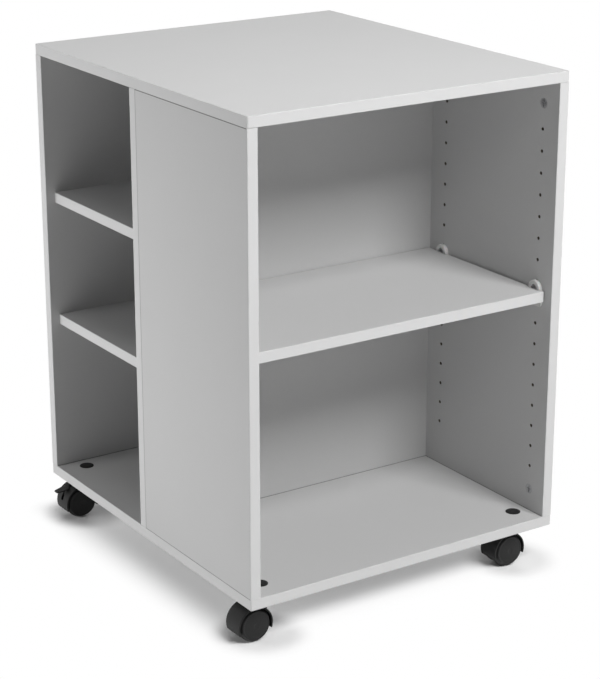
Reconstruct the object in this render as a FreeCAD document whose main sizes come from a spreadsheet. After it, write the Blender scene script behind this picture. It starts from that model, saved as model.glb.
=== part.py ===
import FreeCAD, Part
import os
import Sketcher

# A rolling office cart of melamine-faced board. The front half is one bay with an adjustable
# shelf, the rear half three bays open to the left, and the cart stands on four swivel castors.
# Millimetres, +Z up, the front faces -Y, the origin is on the floor below the carcass's middle.

# Driving sizes: name, value and meaning
SIZES = (
    ("cart_width", 528, "left outer face to right outer face"),
    ("cart_depth", 592, "front edge to back face"),
    ("carcass_height", 686, "underside of the bottom panel to top of the top panel"),
    ("panel", 16, "board thickness"),
    ("edging", 2, "thickness of the edge bands"),
    ("edging_round", 1, "rounding of the edge bands' outer edges"),
    ("front_bay_depth", 290, "front edge of the cart to the divider"),
    ("lower_bay_height", 234, "bottom panel to lower side shelf"),
    ("middle_bay_height", 178, "lower side shelf to upper side shelf"),
    ("side_shelf_setback", 15, "left outer face to the side shelves' edge"),
    ("front_shelf_setback", 15, "front edge of the cart to the front shelf's edge"),
    ("front_shelf_back_gap", 2, "front shelf to divider"),
    ("shelf_end_clearance", 0.5, "front shelf's end to the clip plate"),
    ("pin_hole_diameter", 5, "shelf pin holes"),
    ("pin_hole_depth", 11, "shelf pin holes"),
    ("pin_hole_pitch", 32, "shelf pin holes, one to the next"),
    ("pin_hole_count", 17, "shelf pin holes in a row, a count"),
    ("pin_row_setback", 34, "panel edge to the row of pin holes"),
    ("shelf_hole_number", 9, "pin hole that carries the front shelf, counted from below"),
    ("clip_width", 25, "shelf clip's plate and arch"),
    ("clip_plate", 2, "shelf clip's plate on the wall"),
    ("clip_foot", 5, "shelf clip's plate below the pin"),
    ("clip_ledge_depth", 12, "shelf clip's ledge, out from the wall"),
    ("clip_ledge_width", 16, "shelf clip's ledge along the wall"),
    ("clip_ledge_thickness", 2.5, "shelf clip's ledge"),
    ("clip_ledge_rise", 5, "pin axis to the top of the ledge"),
    ("clip_arch_reach", 6, "shelf clip's arch, out from the wall"),
    ("clip_arch_wall", 6, "shelf clip's arch ring"),
    ("clip_clearance", 0.3, "front shelf to the arch above it"),
    ("clip_pin_length", 9, "shelf clip's pin in its hole"),
    ("cam_diameter", 15, "cam lock's pocket"),
    ("cam_depth", 12.5, "cam lock's pocket"),
    ("cam_clearance", 0.1, "cam lock to its pocket"),
    ("cam_setback", 34, "board's edge to the cam lock's middle"),
    ("cam_slot_length", 9, "screwdriver slot in the cam lock"),
    ("cam_slot_width", 1.6, "screwdriver slot in the cam lock"),
    ("cam_slot_depth", 2.5, "screwdriver slot and arrow in the cam lock"),
    ("cam_arrow_tip", 6.6, "cam lock's middle to the tip of the arrow sunk in its face"),
    ("cam_arrow_length", 4, "arrow sunk in the cam lock's face"),
    ("cam_arrow_width", 7, "arrow sunk in the cam lock's face"),
    ("bolt_bore_diameter", 8, "bore for the cam bolt in a board's edge"),
    ("bolt_shank_diameter", 6, "cam bolt"),
    ("bolt_head_diameter", 7, "cam bolt"),
    ("bolt_head_length", 4, "cam bolt"),
    ("bolt_thread_diameter", 5, "cam bolt's thread and its hole"),
    ("bolt_thread_length", 11, "cam bolt's thread and its hole"),
    ("divider_bolt_inset", 60, "left face to the divider's first cam bolt"),
    ("back_bolt_inset", 190, "left face to the back panel's first cam bolt"),
    ("dowel_diameter", 8, "wooden dowels"),
    ("dowel_length", 30, "wooden dowels"),
    ("dowel_chamfer", 1, "wooden dowels' ends"),
    ("dowel_face_depth", 11, "dowel hole in a board's face"),
    ("dowel_end_gap", 0.5, "dowel's end to the bottom of its hole"),
    ("dowel_spacing", 32, "cam bolt to the dowel beside it"),
    ("shelf_dowel_inset", 70, "side shelf's ends to its dowels"),
    ("castor_height", 62, "floor to the underside of the bottom panel"),
    ("castor_inset", 40, "outer faces to the castors' swivel axes"),
    ("castor_trail", 18, "swivel axis to axle"),
    ("wheel_diameter", 50, "castor wheels"),
    ("wheel_width", 11.5, "castor wheels"),
    ("wheel_rim", 4, "castor wheel's rim"),
    ("wheel_disc", 3, "castor wheel's outer disc"),
    ("wheel_hub_diameter", 14, "castor wheel's hub"),
    ("wheel_shoulder", 3.4, "sloping shoulder round the castor wheel's disc, its breadth"),
    ("wheel_shoulder_depth", 7, "sloping shoulder round the castor wheel's disc, along the axle"),
    ("wheel_round", 0.9, "rounding of the castor wheel's disc at its edge"),
    ("wheel_bore_cover", 2.5, "closed end of the castor wheel's bore"),
    ("axle_diameter", 6, "castor axle"),
    ("axle_end_gap", 0.5, "axle's end to the bottom of the wheel's bore"),
    ("running_clearance", 0.05, "radial play of turning fits"),
    ("web_thickness", 12, "hood's web between the wheels"),
    ("web_clearance", 1, "web to wheel"),
    ("web_hub_diameter", 14, "hood's web around the axle"),
    ("hood_wall", 2.4, "hood over the wheels"),
    ("hood_clearance", 0.8, "hood to the wheels' tread"),
    ("hood_side_setback", 1, "hood's side behind the wheel's face"),
    ("hood_tail_angle", 21, "hood's tail below the axle, degrees"),
    ("hood_lip_angle", 19, "hood's leading lip below the axle, degrees"),
    ("hood_round", 1, "rounding of the hood's outer edges"),
    ("boss_diameter", 18, "hood's boss around the stem"),
    ("stem_diameter", 11, "castor stem"),
    ("stem_chamfer", 1, "castor stem's top"),
    ("stem_grip", 10, "castor stem inside the hood's boss"),
    ("stem_collar_diameter", 18, "castor stem's collar"),
    ("stem_collar", 3, "castor stem's collar"),
    ("stem_end_gap", 1, "castor stem's top to the cap's plug"),
    ("swivel_gap", 0.2, "castor stem's collar to the socket"),
    ("socket_diameter", 16, "castor socket in the bottom panel"),
    ("socket_flange_diameter", 28, "castor socket's flange"),
    ("socket_flange", 2, "castor socket's flange"),
    ("cap_diameter", 22, "cap over the castor socket"),
    ("cap_thickness", 1.5, "cap over the castor socket"),
    ("cap_plug", 2, "cap's plug in the socket"),
    ("lever_pivot_back", 14, "axle to the brake lever's pivot, towards the tail"),
    ("lever_pivot_rise", 12, "axle to the brake lever's pivot, upwards"),
    ("lever_reach", 22.5, "brake lever's pivot to its tip, along the foot tab"),
    ("lever_angle", 10, "foot tab below level when the wheels are free, degrees"),
    ("lever_arm_width", 5, "brake lever's arm"),
    ("lever_arm_thickness", 6, "brake lever's arm"),
    ("lever_arm_heel", 4, "brake lever's arm past its pivot"),
    ("lever_cheek_reach", 9, "lever's pivot to the arm's cheek in the slot"),
    ("lever_cheek_rise", 8, "lever's pivot to the top of the arm's cheek"),
    ("lever_neck_reach", 5, "lever's pivot to the arm's outer side under the foot tab"),
    ("lever_tab_rise", 11.5, "lever's pivot to the underside of the foot tab"),
    ("lever_tab_length", 20.5, "brake lever's foot tab"),
    ("lever_tab_width", 18, "brake lever's foot tab at its root"),
    ("lever_tip_width", 11, "brake lever's foot tab at its tip"),
    ("lever_tab_thickness", 2.8, "brake lever's foot tab"),
    ("lever_tab_overlap", 1, "arm inside the foot tab"),
    ("lever_tab_round", 1, "rounding of the foot tab"),
    ("lever_pin_diameter", 3, "brake lever's pin"),
    ("lever_clearance", 0.6, "brake lever to its slot"),
    ("lever_slot_rise", 17, "lever's pivot to the top of its slot"),
)

doc = FreeCAD.newDocument("utility_cart")
sheet = doc.addObject("Spreadsheet::Sheet", "Sizes")
for row, (size_name, size_value, meaning) in enumerate(SIZES, start=1):
    sheet.set(f"A{row}", meaning)
    sheet.set(f"B{row}", str(size_value))
    sheet.setAlias(f"B{row}", size_name)
doc.recompute()

nodes = []
UP = FreeCAD.Vector(0, 0, 1)
X_AXIS = FreeCAD.Vector(1, 0, 0)
Y_AXIS = FreeCAD.Vector(0, 1, 0)
UPRIGHT = FreeCAD.Rotation()
HALF_TURN = FreeCAD.Rotation(UP, 180)
UPSIDE_DOWN = FreeCAD.Rotation(X_AXIS, 180)
# Turns an item's Z axis to -Y, to +Y, to +X with Y kept, and to +X with X taken to Y
ALONG_AXLE = FreeCAD.Rotation(X_AXIS, 90)
TO_BACK = FreeCAD.Rotation(X_AXIS, -90)
ACROSS = FreeCAD.Rotation(Y_AXIS, 90)
OUT_OF_WALL = FreeCAD.Rotation(FreeCAD.Vector(1, 1, 1), 120)
PLANES = {"x": "YZ_Plane", "y": "XZ_Plane", "z": "XY_Plane"}

# Places worked out from the driving sizes
LEFT = "(-{cart_width} / 2)"
FRONT = "(-{cart_depth} / 2)"
BAY_FLOOR = "({castor_height} + {panel})"
INNER_HEIGHT = "({carcass_height} - 2 * {panel})"
BAY_CEILING = f"({BAY_FLOOR} + {INNER_HEIGHT})"
LOWEST_HOLE = f"(({INNER_HEIGHT} - {{pin_hole_pitch}} * ({{pin_hole_count}} - 1)) / 2)"
SHELF_HOLE = f"({LOWEST_HOLE} + {{pin_hole_pitch}} * ({{shelf_hole_number}} - 1))"
SHELF_GAP = "({panel} + {clip_plate} + {shelf_end_clearance})"
REAR_BAY = "({front_bay_depth} + {panel})"
REAR_BAY_DEPTH = f"({{cart_depth}} - {{panel}} - {REAR_BAY})"
DOWEL_IN_FACE = "({dowel_face_depth} - {dowel_end_gap})"
DOWEL_EDGE_DEPTH = f"({{dowel_length}} - {DOWEL_IN_FACE} + {{dowel_end_gap}})"
AXLE_LEVEL = "({wheel_diameter} / 2)"
BOSS_TOP = "({castor_height} - {socket_flange} - {swivel_gap} - {stem_collar})"
WELL_RADIUS = "({wheel_diameter} / 2 + {hood_clearance})"
HOOD_RADIUS = f"({WELL_RADIUS} + {{hood_wall}})"
WHEEL_START = "({web_thickness} / 2 + {web_clearance})"
HOOD_HALF = f"({WHEEL_START} + {{wheel_width}} - {{hood_side_setback}})"
WHEEL_BORE = "({wheel_width} - {wheel_bore_cover})"
SOCKET_BORE = "({stem_diameter} / 2 + {running_clearance})"


# Expressions and places


def formula(text):
    """An expression with each size name in braces turned into its sheet cell."""
    return text.replace("{", "Sizes.").replace("}", "")


def value(text):
    """What an expression of sizes comes to."""
    return float(sheet.evalExpression(formula(text)))


def bind(item, prop, text):
    """Ties a property to an expression of sizes."""
    item.setExpression(prop, formula(text))


def place(item, x, y, z, turn=UPRIGHT):
    """Turns an item and ties its position to three expressions."""
    item.Placement = FreeCAD.Placement(FreeCAD.Vector(), turn)
    for letter, text in zip("xyz", (x, y, z)):
        bind(item, f"Placement.Base.{letter}", text)


# Sketches and features


def new_body(label, is_node=True):
    body = doc.addObject("PartDesign::Body", label)
    if is_node:
        nodes.append(body)
    return body


def new_sketch(body, axis, level="0"):
    """A sketch square to an axis of its body, at a level along that axis."""
    sketch = body.newObject("Sketcher::SketchObject", f"{body.Label}_sketch")
    plane = next(item for item in body.Origin.OriginFeatures if item.Role == PLANES[axis])
    sketch.AttachmentSupport = [(plane, "")]
    sketch.MapMode = "FlatFace"
    # The XZ plane faces -Y, so its levels count the other way
    bind(sketch, "AttachmentOffset.Base.z", f"-({level})" if axis == "y" else level)
    return sketch


def pin_point(sketch, element, end, x, y):
    """Ties one point of a sketch to two expressions counted from the sketch's origin."""
    for kind, axis_line, text in (("DistanceX", -2, x), ("DistanceY", -1, y)):
        if text == "0":
            sketch.addConstraint(Sketcher.Constraint("PointOnObject", element, end, axis_line))
        else:
            rule = Sketcher.Constraint(kind, -1, 1, element, end, value(text))
            bind(sketch, f"Constraints[{sketch.addConstraint(rule)}]", text)


def add_polygon(sketch, points):
    """A closed outline of straight lines through points given as pairs of expressions."""
    corners = [FreeCAD.Vector(value(x), value(y), 0) for x, y in points]
    first = sketch.GeometryCount
    following = [first + (step + 1) % len(points) for step in range(len(points))]
    for step, corner in enumerate(corners):
        sketch.addGeometry(Part.LineSegment(corner, corners[following[step] - first]))
    for step, (x, y) in enumerate(points):
        joined = Sketcher.Constraint("Coincident", first + step, 2, following[step], 1)
        sketch.addConstraint(joined)
        pin_point(sketch, first + step, 1, x, y)


def add_rectangle(sketch, left, low, right, high):
    add_polygon(sketch, ((left, low), (right, low), (right, high), (left, high)))


def add_circle(sketch, x, y, diameter):
    centre = FreeCAD.Vector(value(x), value(y), 0)
    circle = sketch.addGeometry(Part.Circle(centre, UP, value(diameter) / 2))
    pin_point(sketch, circle, 3, x, y)
    rule = Sketcher.Constraint("Diameter", circle, value(diameter))
    bind(sketch, f"Constraints[{sketch.addConstraint(rule)}]", diameter)


def pad(body, sketch, length, symmetric=False, backwards=False):
    feature = body.newObject("PartDesign::Pad", f"{body.Label}_pad")
    feature.Profile = sketch
    bind(feature, "Length", length)
    feature.SideType = "Symmetric" if symmetric else "One side"
    feature.Reversed = backwards
    return feature


def pocket(body, sketch, axis, toward, depth):
    """Cuts a sketch into its body along an axis, towards +1 or -1."""
    feature = body.newObject("PartDesign::Pocket", f"{body.Label}_pocket")
    feature.Profile = sketch
    bind(feature, "Length", depth)
    # A pocket runs against its sketch's normal, which is -Y on the XZ plane
    feature.Reversed = (toward > 0) != (axis == "y")
    return feature


def drill(body, axis, level, toward, depth, holes):
    """Round blind holes along an axis, from a level of the body towards +1 or -1."""
    sketch = new_sketch(body, axis, level)
    for x, y, diameter in holes:
        add_circle(sketch, x, y, diameter)
    return pocket(body, sketch, axis, toward, depth)


def revolve(body, axis, points):
    """Turns an outline of radius and height once round the sketch's upright axis."""
    sketch = new_sketch(body, axis)
    add_polygon(sketch, points)
    feature = body.newObject("PartDesign::Revolution", f"{body.Label}_turned")
    feature.Profile = sketch
    feature.ReferenceAxis = (sketch, ["V_Axis"])
    feature.Angle = 360
    return feature


def on_plane(edge, letter, level):
    """Whether both ends of an edge have a coordinate at a level."""
    return all(abs(getattr(end.Point, letter) - level) < 1e-6 for end in edge.Vertexes)


def round_edges(body, radius, wanted):
    """Rounds those edges of a body's last feature that a test picks."""
    doc.recompute()
    base = body.Tip
    names = [f"Edge{index}" for index, edge in enumerate(base.Shape.Edges, 1) if wanted(edge)]
    feature = body.newObject("PartDesign::Fillet", f"{body.Label}_round")
    feature.Base = (base, names)
    bind(feature, "Radius", radius)


# Solids from primitives


def cylinder(name, radius, height, at, turn=UPRIGHT, angle="360"):
    item = doc.addObject("Part::Cylinder", name)
    bind(item, "Radius", radius)
    bind(item, "Height", height)
    bind(item, "Angle", angle)
    place(item, *at, turn)
    return item


def box(name, length, width, height, at):
    item = doc.addObject("Part::Box", name)
    for prop, text in (("Length", length), ("Width", width), ("Height", height)):
        bind(item, prop, text)
    place(item, *at)
    return item


def fuse(name, items):
    item = doc.addObject("Part::MultiFuse", name)
    item.Shapes = items
    item.Refine = True
    return item


def cut(name, base, tool):
    item = doc.addObject("Part::Cut", name)
    item.Base = base
    item.Tool = tool
    item.Refine = True
    return item


def group(label, source, places):
    """One node that holds a copy of a source body at each place."""
    copies = []
    for x, y, z, turn in places:
        link = doc.addObject("App::Link", f"{source.Label}_copy")
        link.LinkedObject = source
        place(link, x, y, z, turn)
        copies.append(link)
    compound = doc.addObject("Part::Compound", label)
    compound.Links = copies
    nodes.append(compound)


# Boards and their edge bands

# Upright boards: label, the axis across the board, its middle plane, the side with the cam
# locks, and the first and last cam bolt along it. Planes and bolts count from the left face
# or the front edge.
UPRIGHTS = (
    (
        "left_side_panel", "x", "{panel} / 2", 1,
        "{pin_row_setback}", "{front_bay_depth} - {pin_row_setback}",
    ),
    (
        "right_side_panel", "x", "{cart_width} - {panel} / 2", -1,
        "{pin_row_setback}", "{cart_depth} - {panel} - {pin_row_setback}",
    ),
    (
        "divider_panel", "y", "{front_bay_depth} + {panel} / 2", 1,
        "{divider_bolt_inset}", "{cart_width} - {panel} - {divider_bolt_inset}",
    ),
    (
        "back_panel", "y", "{cart_depth} - {panel} / 2", -1,
        "{back_bolt_inset}", "{cart_width} - {panel} - {back_bolt_inset}",
    ),
)
UPRIGHT_ENDS = {
    "left_side_panel": "{front_bay_depth}",
    "right_side_panel": "{cart_depth} - {edging}",
    "divider_panel": "{cart_width} - {panel}",
    "back_panel": "{cart_width} - {panel}",
}
SIDE_SHELVES = {
    "lower_side_shelf": "{lower_bay_height}",
    "upper_side_shelf": "({lower_bay_height} + {panel} + {middle_bay_height})",
}
SHELF_DOWELS = (
    "{side_shelf_setback} + {shelf_dowel_inset}",
    "{cart_width} - {panel} - {shelf_dowel_inset}",
)
CASTORS = {
    "front_left": ("{castor_inset}", "{castor_inset}"),
    "front_right": ("{cart_width} - {castor_inset}", "{castor_inset}"),
    "rear_left": ("{castor_inset}", "{cart_depth} - {castor_inset}"),
    "rear_right": ("{cart_width} - {castor_inset}", "{cart_depth} - {castor_inset}"),
}
BRAKED = ("rear_left", "rear_right")


def in_plan(axis, across, along):
    """The cart's x and y of a point given across and along an upright board."""
    return (across, along) if axis == "x" else (along, across)


def bolts_and_dowels(first, last):
    """Places of the cam bolts and of the dowels beside them, along a board."""
    bolts = (first, last)
    dowels = (f"{first} + {{dowel_spacing}}", f"{last} - {{dowel_spacing}}")
    return bolts, dowels


def board(label, axis, corner, width, height, thickness="{panel}"):
    """A flat board square to an axis. The corner counts from the left face, the front edge
    and the floor."""
    body = new_body(label)
    sketch = new_sketch(body, axis)
    add_rectangle(sketch, "0", "0", width, height)
    pad(body, sketch, thickness, backwards=axis == "y")
    x, y, z = corner
    place(body, f"{LEFT} + {x}", f"{FRONT} + {y}", z)
    return body


def horizontal_board(label, level, inner_level, toward):
    """The top or bottom panel's core, drilled in its inner face for the upright boards."""
    body = board(
        label, "z", ("{edging}", "{edging}", level),
        "{cart_width} - 2 * {edging}", "{cart_depth} - 2 * {edging}",
    )
    bolt_holes = []
    dowel_holes = []
    for _, axis, middle, _, first, last in UPRIGHTS:
        bolts, dowels = bolts_and_dowels(first, last)
        for found, places, diameter in (
            (bolt_holes, bolts, "{bolt_thread_diameter}"),
            (dowel_holes, dowels, "{dowel_diameter}"),
        ):
            for along in places:
                x, y = in_plan(axis, middle, along)
                found.append((f"{x} - {{edging}}", f"{y} - {{edging}}", diameter))
    drill(body, "z", inner_level, toward, "{bolt_thread_length}", bolt_holes)
    drill(body, "z", inner_level, toward, "{dowel_face_depth}", dowel_holes)
    return body


def upright_board(label, axis, middle, cam_side, first, last):
    """A side, divider or back panel's core, with its cam pockets and the bores in its ends."""
    across = f"({middle} - {{panel}} / 2)"
    x, y = in_plan(axis, across, "{edging}")
    width = f"({UPRIGHT_ENDS[label]} - {{edging}})"
    body = board(label, axis, (x, y, BAY_FLOOR), width, INNER_HEIGHT)
    bolts, dowels = bolts_and_dowels(first, last)
    face = "{panel}" if cam_side > 0 else "0"
    cams = [
        (f"{along} - {{edging}}", level, "{cam_diameter}")
        for along in bolts
        for level in ("{cam_setback}", f"{INNER_HEIGHT} - {{cam_setback}}")
    ]
    drill(body, axis, face, -cam_side, "{cam_depth}", cams)
    for level, toward in (("0", 1), (INNER_HEIGHT, -1)):
        for places, diameter, depth in (
            (bolts, "{bolt_bore_diameter}", "{cam_setback}"),
            (dowels, "{dowel_diameter}", DOWEL_EDGE_DEPTH),
        ):
            holes = [
                (*in_plan(axis, "{panel} / 2", f"{along} - {{edging}}"), diameter)
                for along in places
            ]
            drill(body, "z", level, toward, depth, holes)
    return body


def drill_pin_rows(body, face, toward):
    """The front bay's two rows of shelf pin holes in a side panel."""
    setbacks = ("{pin_row_setback}", "{front_bay_depth} - {pin_row_setback}")
    holes = [(f"{y} - {{edging}}", LOWEST_HOLE, "{pin_hole_diameter}") for y in setbacks]
    first = drill(body, "x", face, toward, "{pin_hole_depth}", holes)
    doc.recompute()
    rows = body.newObject("PartDesign::LinearPattern", f"{body.Label}_pin_rows")
    rows.Originals = [first]
    rows.Direction = (first.Profile[0], ["V_Axis"])
    bind(rows, "Length", "{pin_hole_pitch} * ({pin_hole_count} - 1)")
    bind(rows, "Occurrences", "{pin_hole_count}")
    body.Tip = rows


def side_shelf(label, bay_level):
    """A fixed shelf's core between divider and back panel, bored in its long edges for dowels."""
    start = "{side_shelf_setback} + {edging}"
    body = board(
        label, "z", (start, REAR_BAY, f"{BAY_FLOOR} + {bay_level}"),
        f"{{cart_width}} - {{panel}} - ({start})", REAR_BAY_DEPTH,
    )
    holes = [(f"{x} - ({start})", "{panel} / 2", "{dowel_diameter}") for x in SHELF_DOWELS]
    drill(body, "y", "0", 1, DOWEL_EDGE_DEPTH, holes)
    drill(body, "y", REAR_BAY_DEPTH, -1, DOWEL_EDGE_DEPTH, holes)


def drill_shelf_dowels(body, face, toward):
    """Dowel holes for the side shelves in the divider or the back panel."""
    holes = [
        (f"{x} - {{edging}}", f"{level} + {{panel}} / 2", "{dowel_diameter}")
        for x in SHELF_DOWELS
        for level in SIDE_SHELVES.values()
    ]
    drill(body, "y", face, toward, "{dowel_face_depth}", holes)


def edge_strip(label, axis, corner, width, height, outer_level="0"):
    """A straight edge band with its two long outer edges rounded."""
    body = board(label, axis, corner, width, height, "{edging}")
    level = value(outer_level)
    long_edge = value("2 * {panel}")
    round_edges(
        body, "{edging_round}",
        lambda edge: edge.Length > long_edge and on_plane(edge, axis, level),
    )


def edge_frame(label, level):
    """An edge band all round the top or bottom panel, its outer edges rounded."""
    body = new_body(label)
    sketch = new_sketch(body, "z")
    add_rectangle(sketch, "0", "0", "{cart_width}", "{cart_depth}")
    inner = ("{edging}", "{edging}", "{cart_width} - {edging}", "{cart_depth} - {edging}")
    add_rectangle(sketch, *inner)
    pad(body, sketch, "{panel}")
    place(body, LEFT, FRONT, level)
    faces = [("x", 0), ("x", value("{cart_width}")), ("y", 0), ("y", value("{cart_depth}"))]
    round_edges(
        body, "{edging_round}",
        lambda edge: any(on_plane(edge, letter, face) for letter, face in faces),
    )


def carcass():
    """All boards of the cart with their edge bands."""
    top_level = BAY_CEILING
    horizontal_board("top_panel", top_level, "0", 1)
    edge_frame("top_panel_edging", top_level)
    bottom = horizontal_board("bottom_panel", "{castor_height}", "{panel}", -1)
    sockets = [
        (f"{x} - {{edging}}", f"{y} - {{edging}}", "{socket_diameter}")
        for x, y in CASTORS.values()
    ]
    drill(bottom, "z", "{panel}", -1, "{panel}", sockets)
    edge_frame("bottom_panel_edging", "{castor_height}")
    boards = {upright[0]: upright_board(*upright) for upright in UPRIGHTS}
    drill_pin_rows(boards["left_side_panel"], "{panel}", -1)
    drill_pin_rows(boards["right_side_panel"], "0", 1)
    drill_shelf_dowels(boards["divider_panel"], "{panel}", -1)
    drill_shelf_dowels(boards["back_panel"], "0", 1)
    right_wall = "{cart_width} - {panel}"
    back_edge = "{cart_depth} - {edging}"
    for label, axis, x, y, outer_level in (
        ("left_side_front_edging", "y", "0", "0", "0"),
        ("right_side_front_edging", "y", right_wall, "0", "0"),
        ("right_side_rear_edging", "y", right_wall, back_edge, "{edging}"),
        ("divider_edging", "x", "0", "{front_bay_depth}", "0"),
        ("back_panel_edging", "x", "0", "{cart_depth} - {panel}", "0"),
    ):
        edge_strip(label, axis, (x, y, BAY_FLOOR), "{panel}", INNER_HEIGHT, outer_level)
    for label, bay_level in SIDE_SHELVES.items():
        side_shelf(label, bay_level)
        corner = ("{side_shelf_setback}", REAR_BAY, f"{BAY_FLOOR} + {bay_level}")
        edge_strip(f"{label}_edging", "x", corner, REAR_BAY_DEPTH, "{panel}")


def front_shelf():
    """The adjustable shelf of the front bay, between the shelf clips."""
    level = f"{BAY_FLOOR} + {SHELF_HOLE} + {{clip_ledge_rise}}"
    start = "{front_shelf_setback} + {edging}"
    width = f"{{cart_width}} - 2 * {SHELF_GAP}"
    depth = f"{{front_bay_depth}} - {{front_shelf_back_gap}} - ({start})"
    board("front_shelf", "z", (SHELF_GAP, start, level), width, depth)
    corner = (SHELF_GAP, "{front_shelf_setback}", level)
    edge_strip("front_shelf_edging", "y", corner, width, "{panel}")


# Shelf clips


def shelf_clip(label, x, y, turn):
    """A plastic clip: pin in the wall, ledge under the shelf and arch that holds it down."""
    arch_level = "({clip_ledge_rise} + {panel} + {clip_clearance})"
    middle = "-{clip_width} / 2"
    plate = box(
        f"{label}_plate", "{clip_plate}", "{clip_width}", f"{arch_level} + {{clip_foot}}",
        ("0", middle, "-{clip_foot}"),
    )
    ledge = box(
        f"{label}_ledge", "{clip_ledge_depth}", "{clip_ledge_width}", "{clip_ledge_thickness}",
        ("0", "-{clip_ledge_width} / 2", "{clip_ledge_rise} - {clip_ledge_thickness}"),
    )
    rings = [
        cylinder(
            f"{label}_{name}", radius, "{clip_arch_reach}", ("0", "0", arch_level),
            OUT_OF_WALL, "180",
        )
        for name, radius in (
            ("arch", "{clip_width} / 2"),
            ("arch_hollow", "{clip_width} / 2 - {clip_arch_wall}"),
        )
    ]
    arch = cut(f"{label}_arch_ring", *rings)
    pin = cylinder(
        f"{label}_pin", "{pin_hole_diameter} / 2", "{clip_pin_length} + {clip_plate}",
        ("-{clip_pin_length}", "0", "0"), ACROSS,
    )
    clip = fuse(label, [plate, ledge, arch, pin])
    place(clip, f"{LEFT} + {x}", f"{FRONT} + {y}", f"{BAY_FLOOR} + {SHELF_HOLE}", turn)
    nodes.append(clip)


def shelf_clips():
    for depth, y in (
        ("front", "{pin_row_setback}"),
        ("rear", "{front_bay_depth} - {pin_row_setback}"),
    ):
        shelf_clip(f"{depth}_left_shelf_clip", "{panel}", y, UPRIGHT)
        shelf_clip(f"{depth}_right_shelf_clip", "{cart_width} - {panel}", y, HALF_TURN)


# Cam locks, bolts and dowels


def cam_lock():
    """A round lock with its origin where the axes cross. Bolt and arrow are on its +X side."""
    body = new_body("cam_lock", is_node=False)
    sketch = new_sketch(body, "z", "{panel} / 2 - {cam_depth}")
    add_circle(sketch, "0", "0", "{cam_diameter} - 2 * {cam_clearance}")
    pad(body, sketch, "{cam_depth}")
    bore_depth = "{cam_diameter} / 2 + {bolt_head_length}"
    drill(body, "x", "{cam_diameter} / 2", -1, bore_depth, [("0", "0", "{bolt_bore_diameter}")])
    for length, width in (
        ("{cam_slot_length} / 2", "{cam_slot_width} / 2"),
        ("{cam_slot_width} / 2", "{cam_slot_length} / 2"),
    ):
        sketch = new_sketch(body, "z", "{panel} / 2")
        add_rectangle(sketch, f"-{length}", f"-{width}", length, width)
        pocket(body, sketch, "z", -1, "{cam_slot_depth}")
    arrow_end = "{cam_arrow_tip} - {cam_arrow_length}"
    half = "{cam_arrow_width} / 2"
    sketch = new_sketch(body, "z", "{panel} / 2")
    add_polygon(sketch, ((arrow_end, f"-{half}"), ("{cam_arrow_tip}", "0"), (arrow_end, half)))
    pocket(body, sketch, "z", -1, "{cam_slot_depth}")
    return body


def cam_bolt():
    """A bolt along +Z with its head in the lock and its thread in the next board's face."""
    body = new_body("cam_bolt", is_node=False)
    half_head = "{bolt_head_length} / 2"
    end = "{cam_setback} + {bolt_thread_length}"
    revolve(body, "y", (
        ("0", f"-{half_head}"),
        ("{bolt_head_diameter} / 2", f"-{half_head}"),
        ("{bolt_head_diameter} / 2", half_head),
        ("{bolt_shank_diameter} / 2", half_head),
        ("{bolt_shank_diameter} / 2", "{cam_setback}"),
        ("{bolt_thread_diameter} / 2", "{cam_setback}"),
        ("{bolt_thread_diameter} / 2", end),
        ("0", end),
    ))
    return body


def dowel():
    """A dowel along Z, its short end up into a board's face and the joint at its origin."""
    body = new_body("dowel", is_node=False)
    low = f"{DOWEL_IN_FACE} - {{dowel_length}}"
    tip = "{dowel_diameter} / 2 - {dowel_chamfer}"
    revolve(body, "y", (
        ("0", low),
        (tip, low),
        ("{dowel_diameter} / 2", f"{low} + {{dowel_chamfer}}"),
        ("{dowel_diameter} / 2", f"{DOWEL_IN_FACE} - {{dowel_chamfer}}"),
        (tip, DOWEL_IN_FACE),
        ("0", DOWEL_IN_FACE),
    ))
    return body


def fixings():
    """The hidden fixings of the upright boards and the side shelves."""
    locks = []
    bolts_at = []
    dowels_at = []
    for _, axis, middle, cam_side, first, last in UPRIGHTS:
        outwards = (X_AXIS if axis == "x" else Y_AXIS) * cam_side
        bolts, dowels = bolts_and_dowels(first, last)
        for joint, up, turn in ((BAY_CEILING, 1, UPRIGHT), (BAY_FLOOR, -1, UPSIDE_DOWN)):
            lock_turn = FreeCAD.Rotation(UP * up, outwards.cross(UP * up), outwards, "ZXY")
            lock_level = f"{joint} - {up} * {{cam_setback}}"
            for along in bolts:
                x, y = in_plan(axis, middle, along)
                spot = (f"{LEFT} + {x}", f"{FRONT} + {y}", lock_level)
                locks.append((*spot, lock_turn))
                bolts_at.append((*spot, turn))
            for along in dowels:
                x, y = in_plan(axis, middle, along)
                dowels_at.append((f"{LEFT} + {x}", f"{FRONT} + {y}", joint, turn))
    for bay_level in SIDE_SHELVES.values():
        level = f"{BAY_FLOOR} + {bay_level} + {{panel}} / 2"
        for x in SHELF_DOWELS:
            back = f"{REAR_BAY} + {REAR_BAY_DEPTH}"
            dowels_at.append((f"{LEFT} + {x}", f"{FRONT} + {REAR_BAY}", level, ALONG_AXLE))
            dowels_at.append((f"{LEFT} + {x}", f"{FRONT} + {back}", level, TO_BACK))
    group("cam_locks", cam_lock(), locks)
    group("cam_bolts", cam_bolt(), bolts_at)
    group("dowels", dowel(), dowels_at)


# Castors


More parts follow.
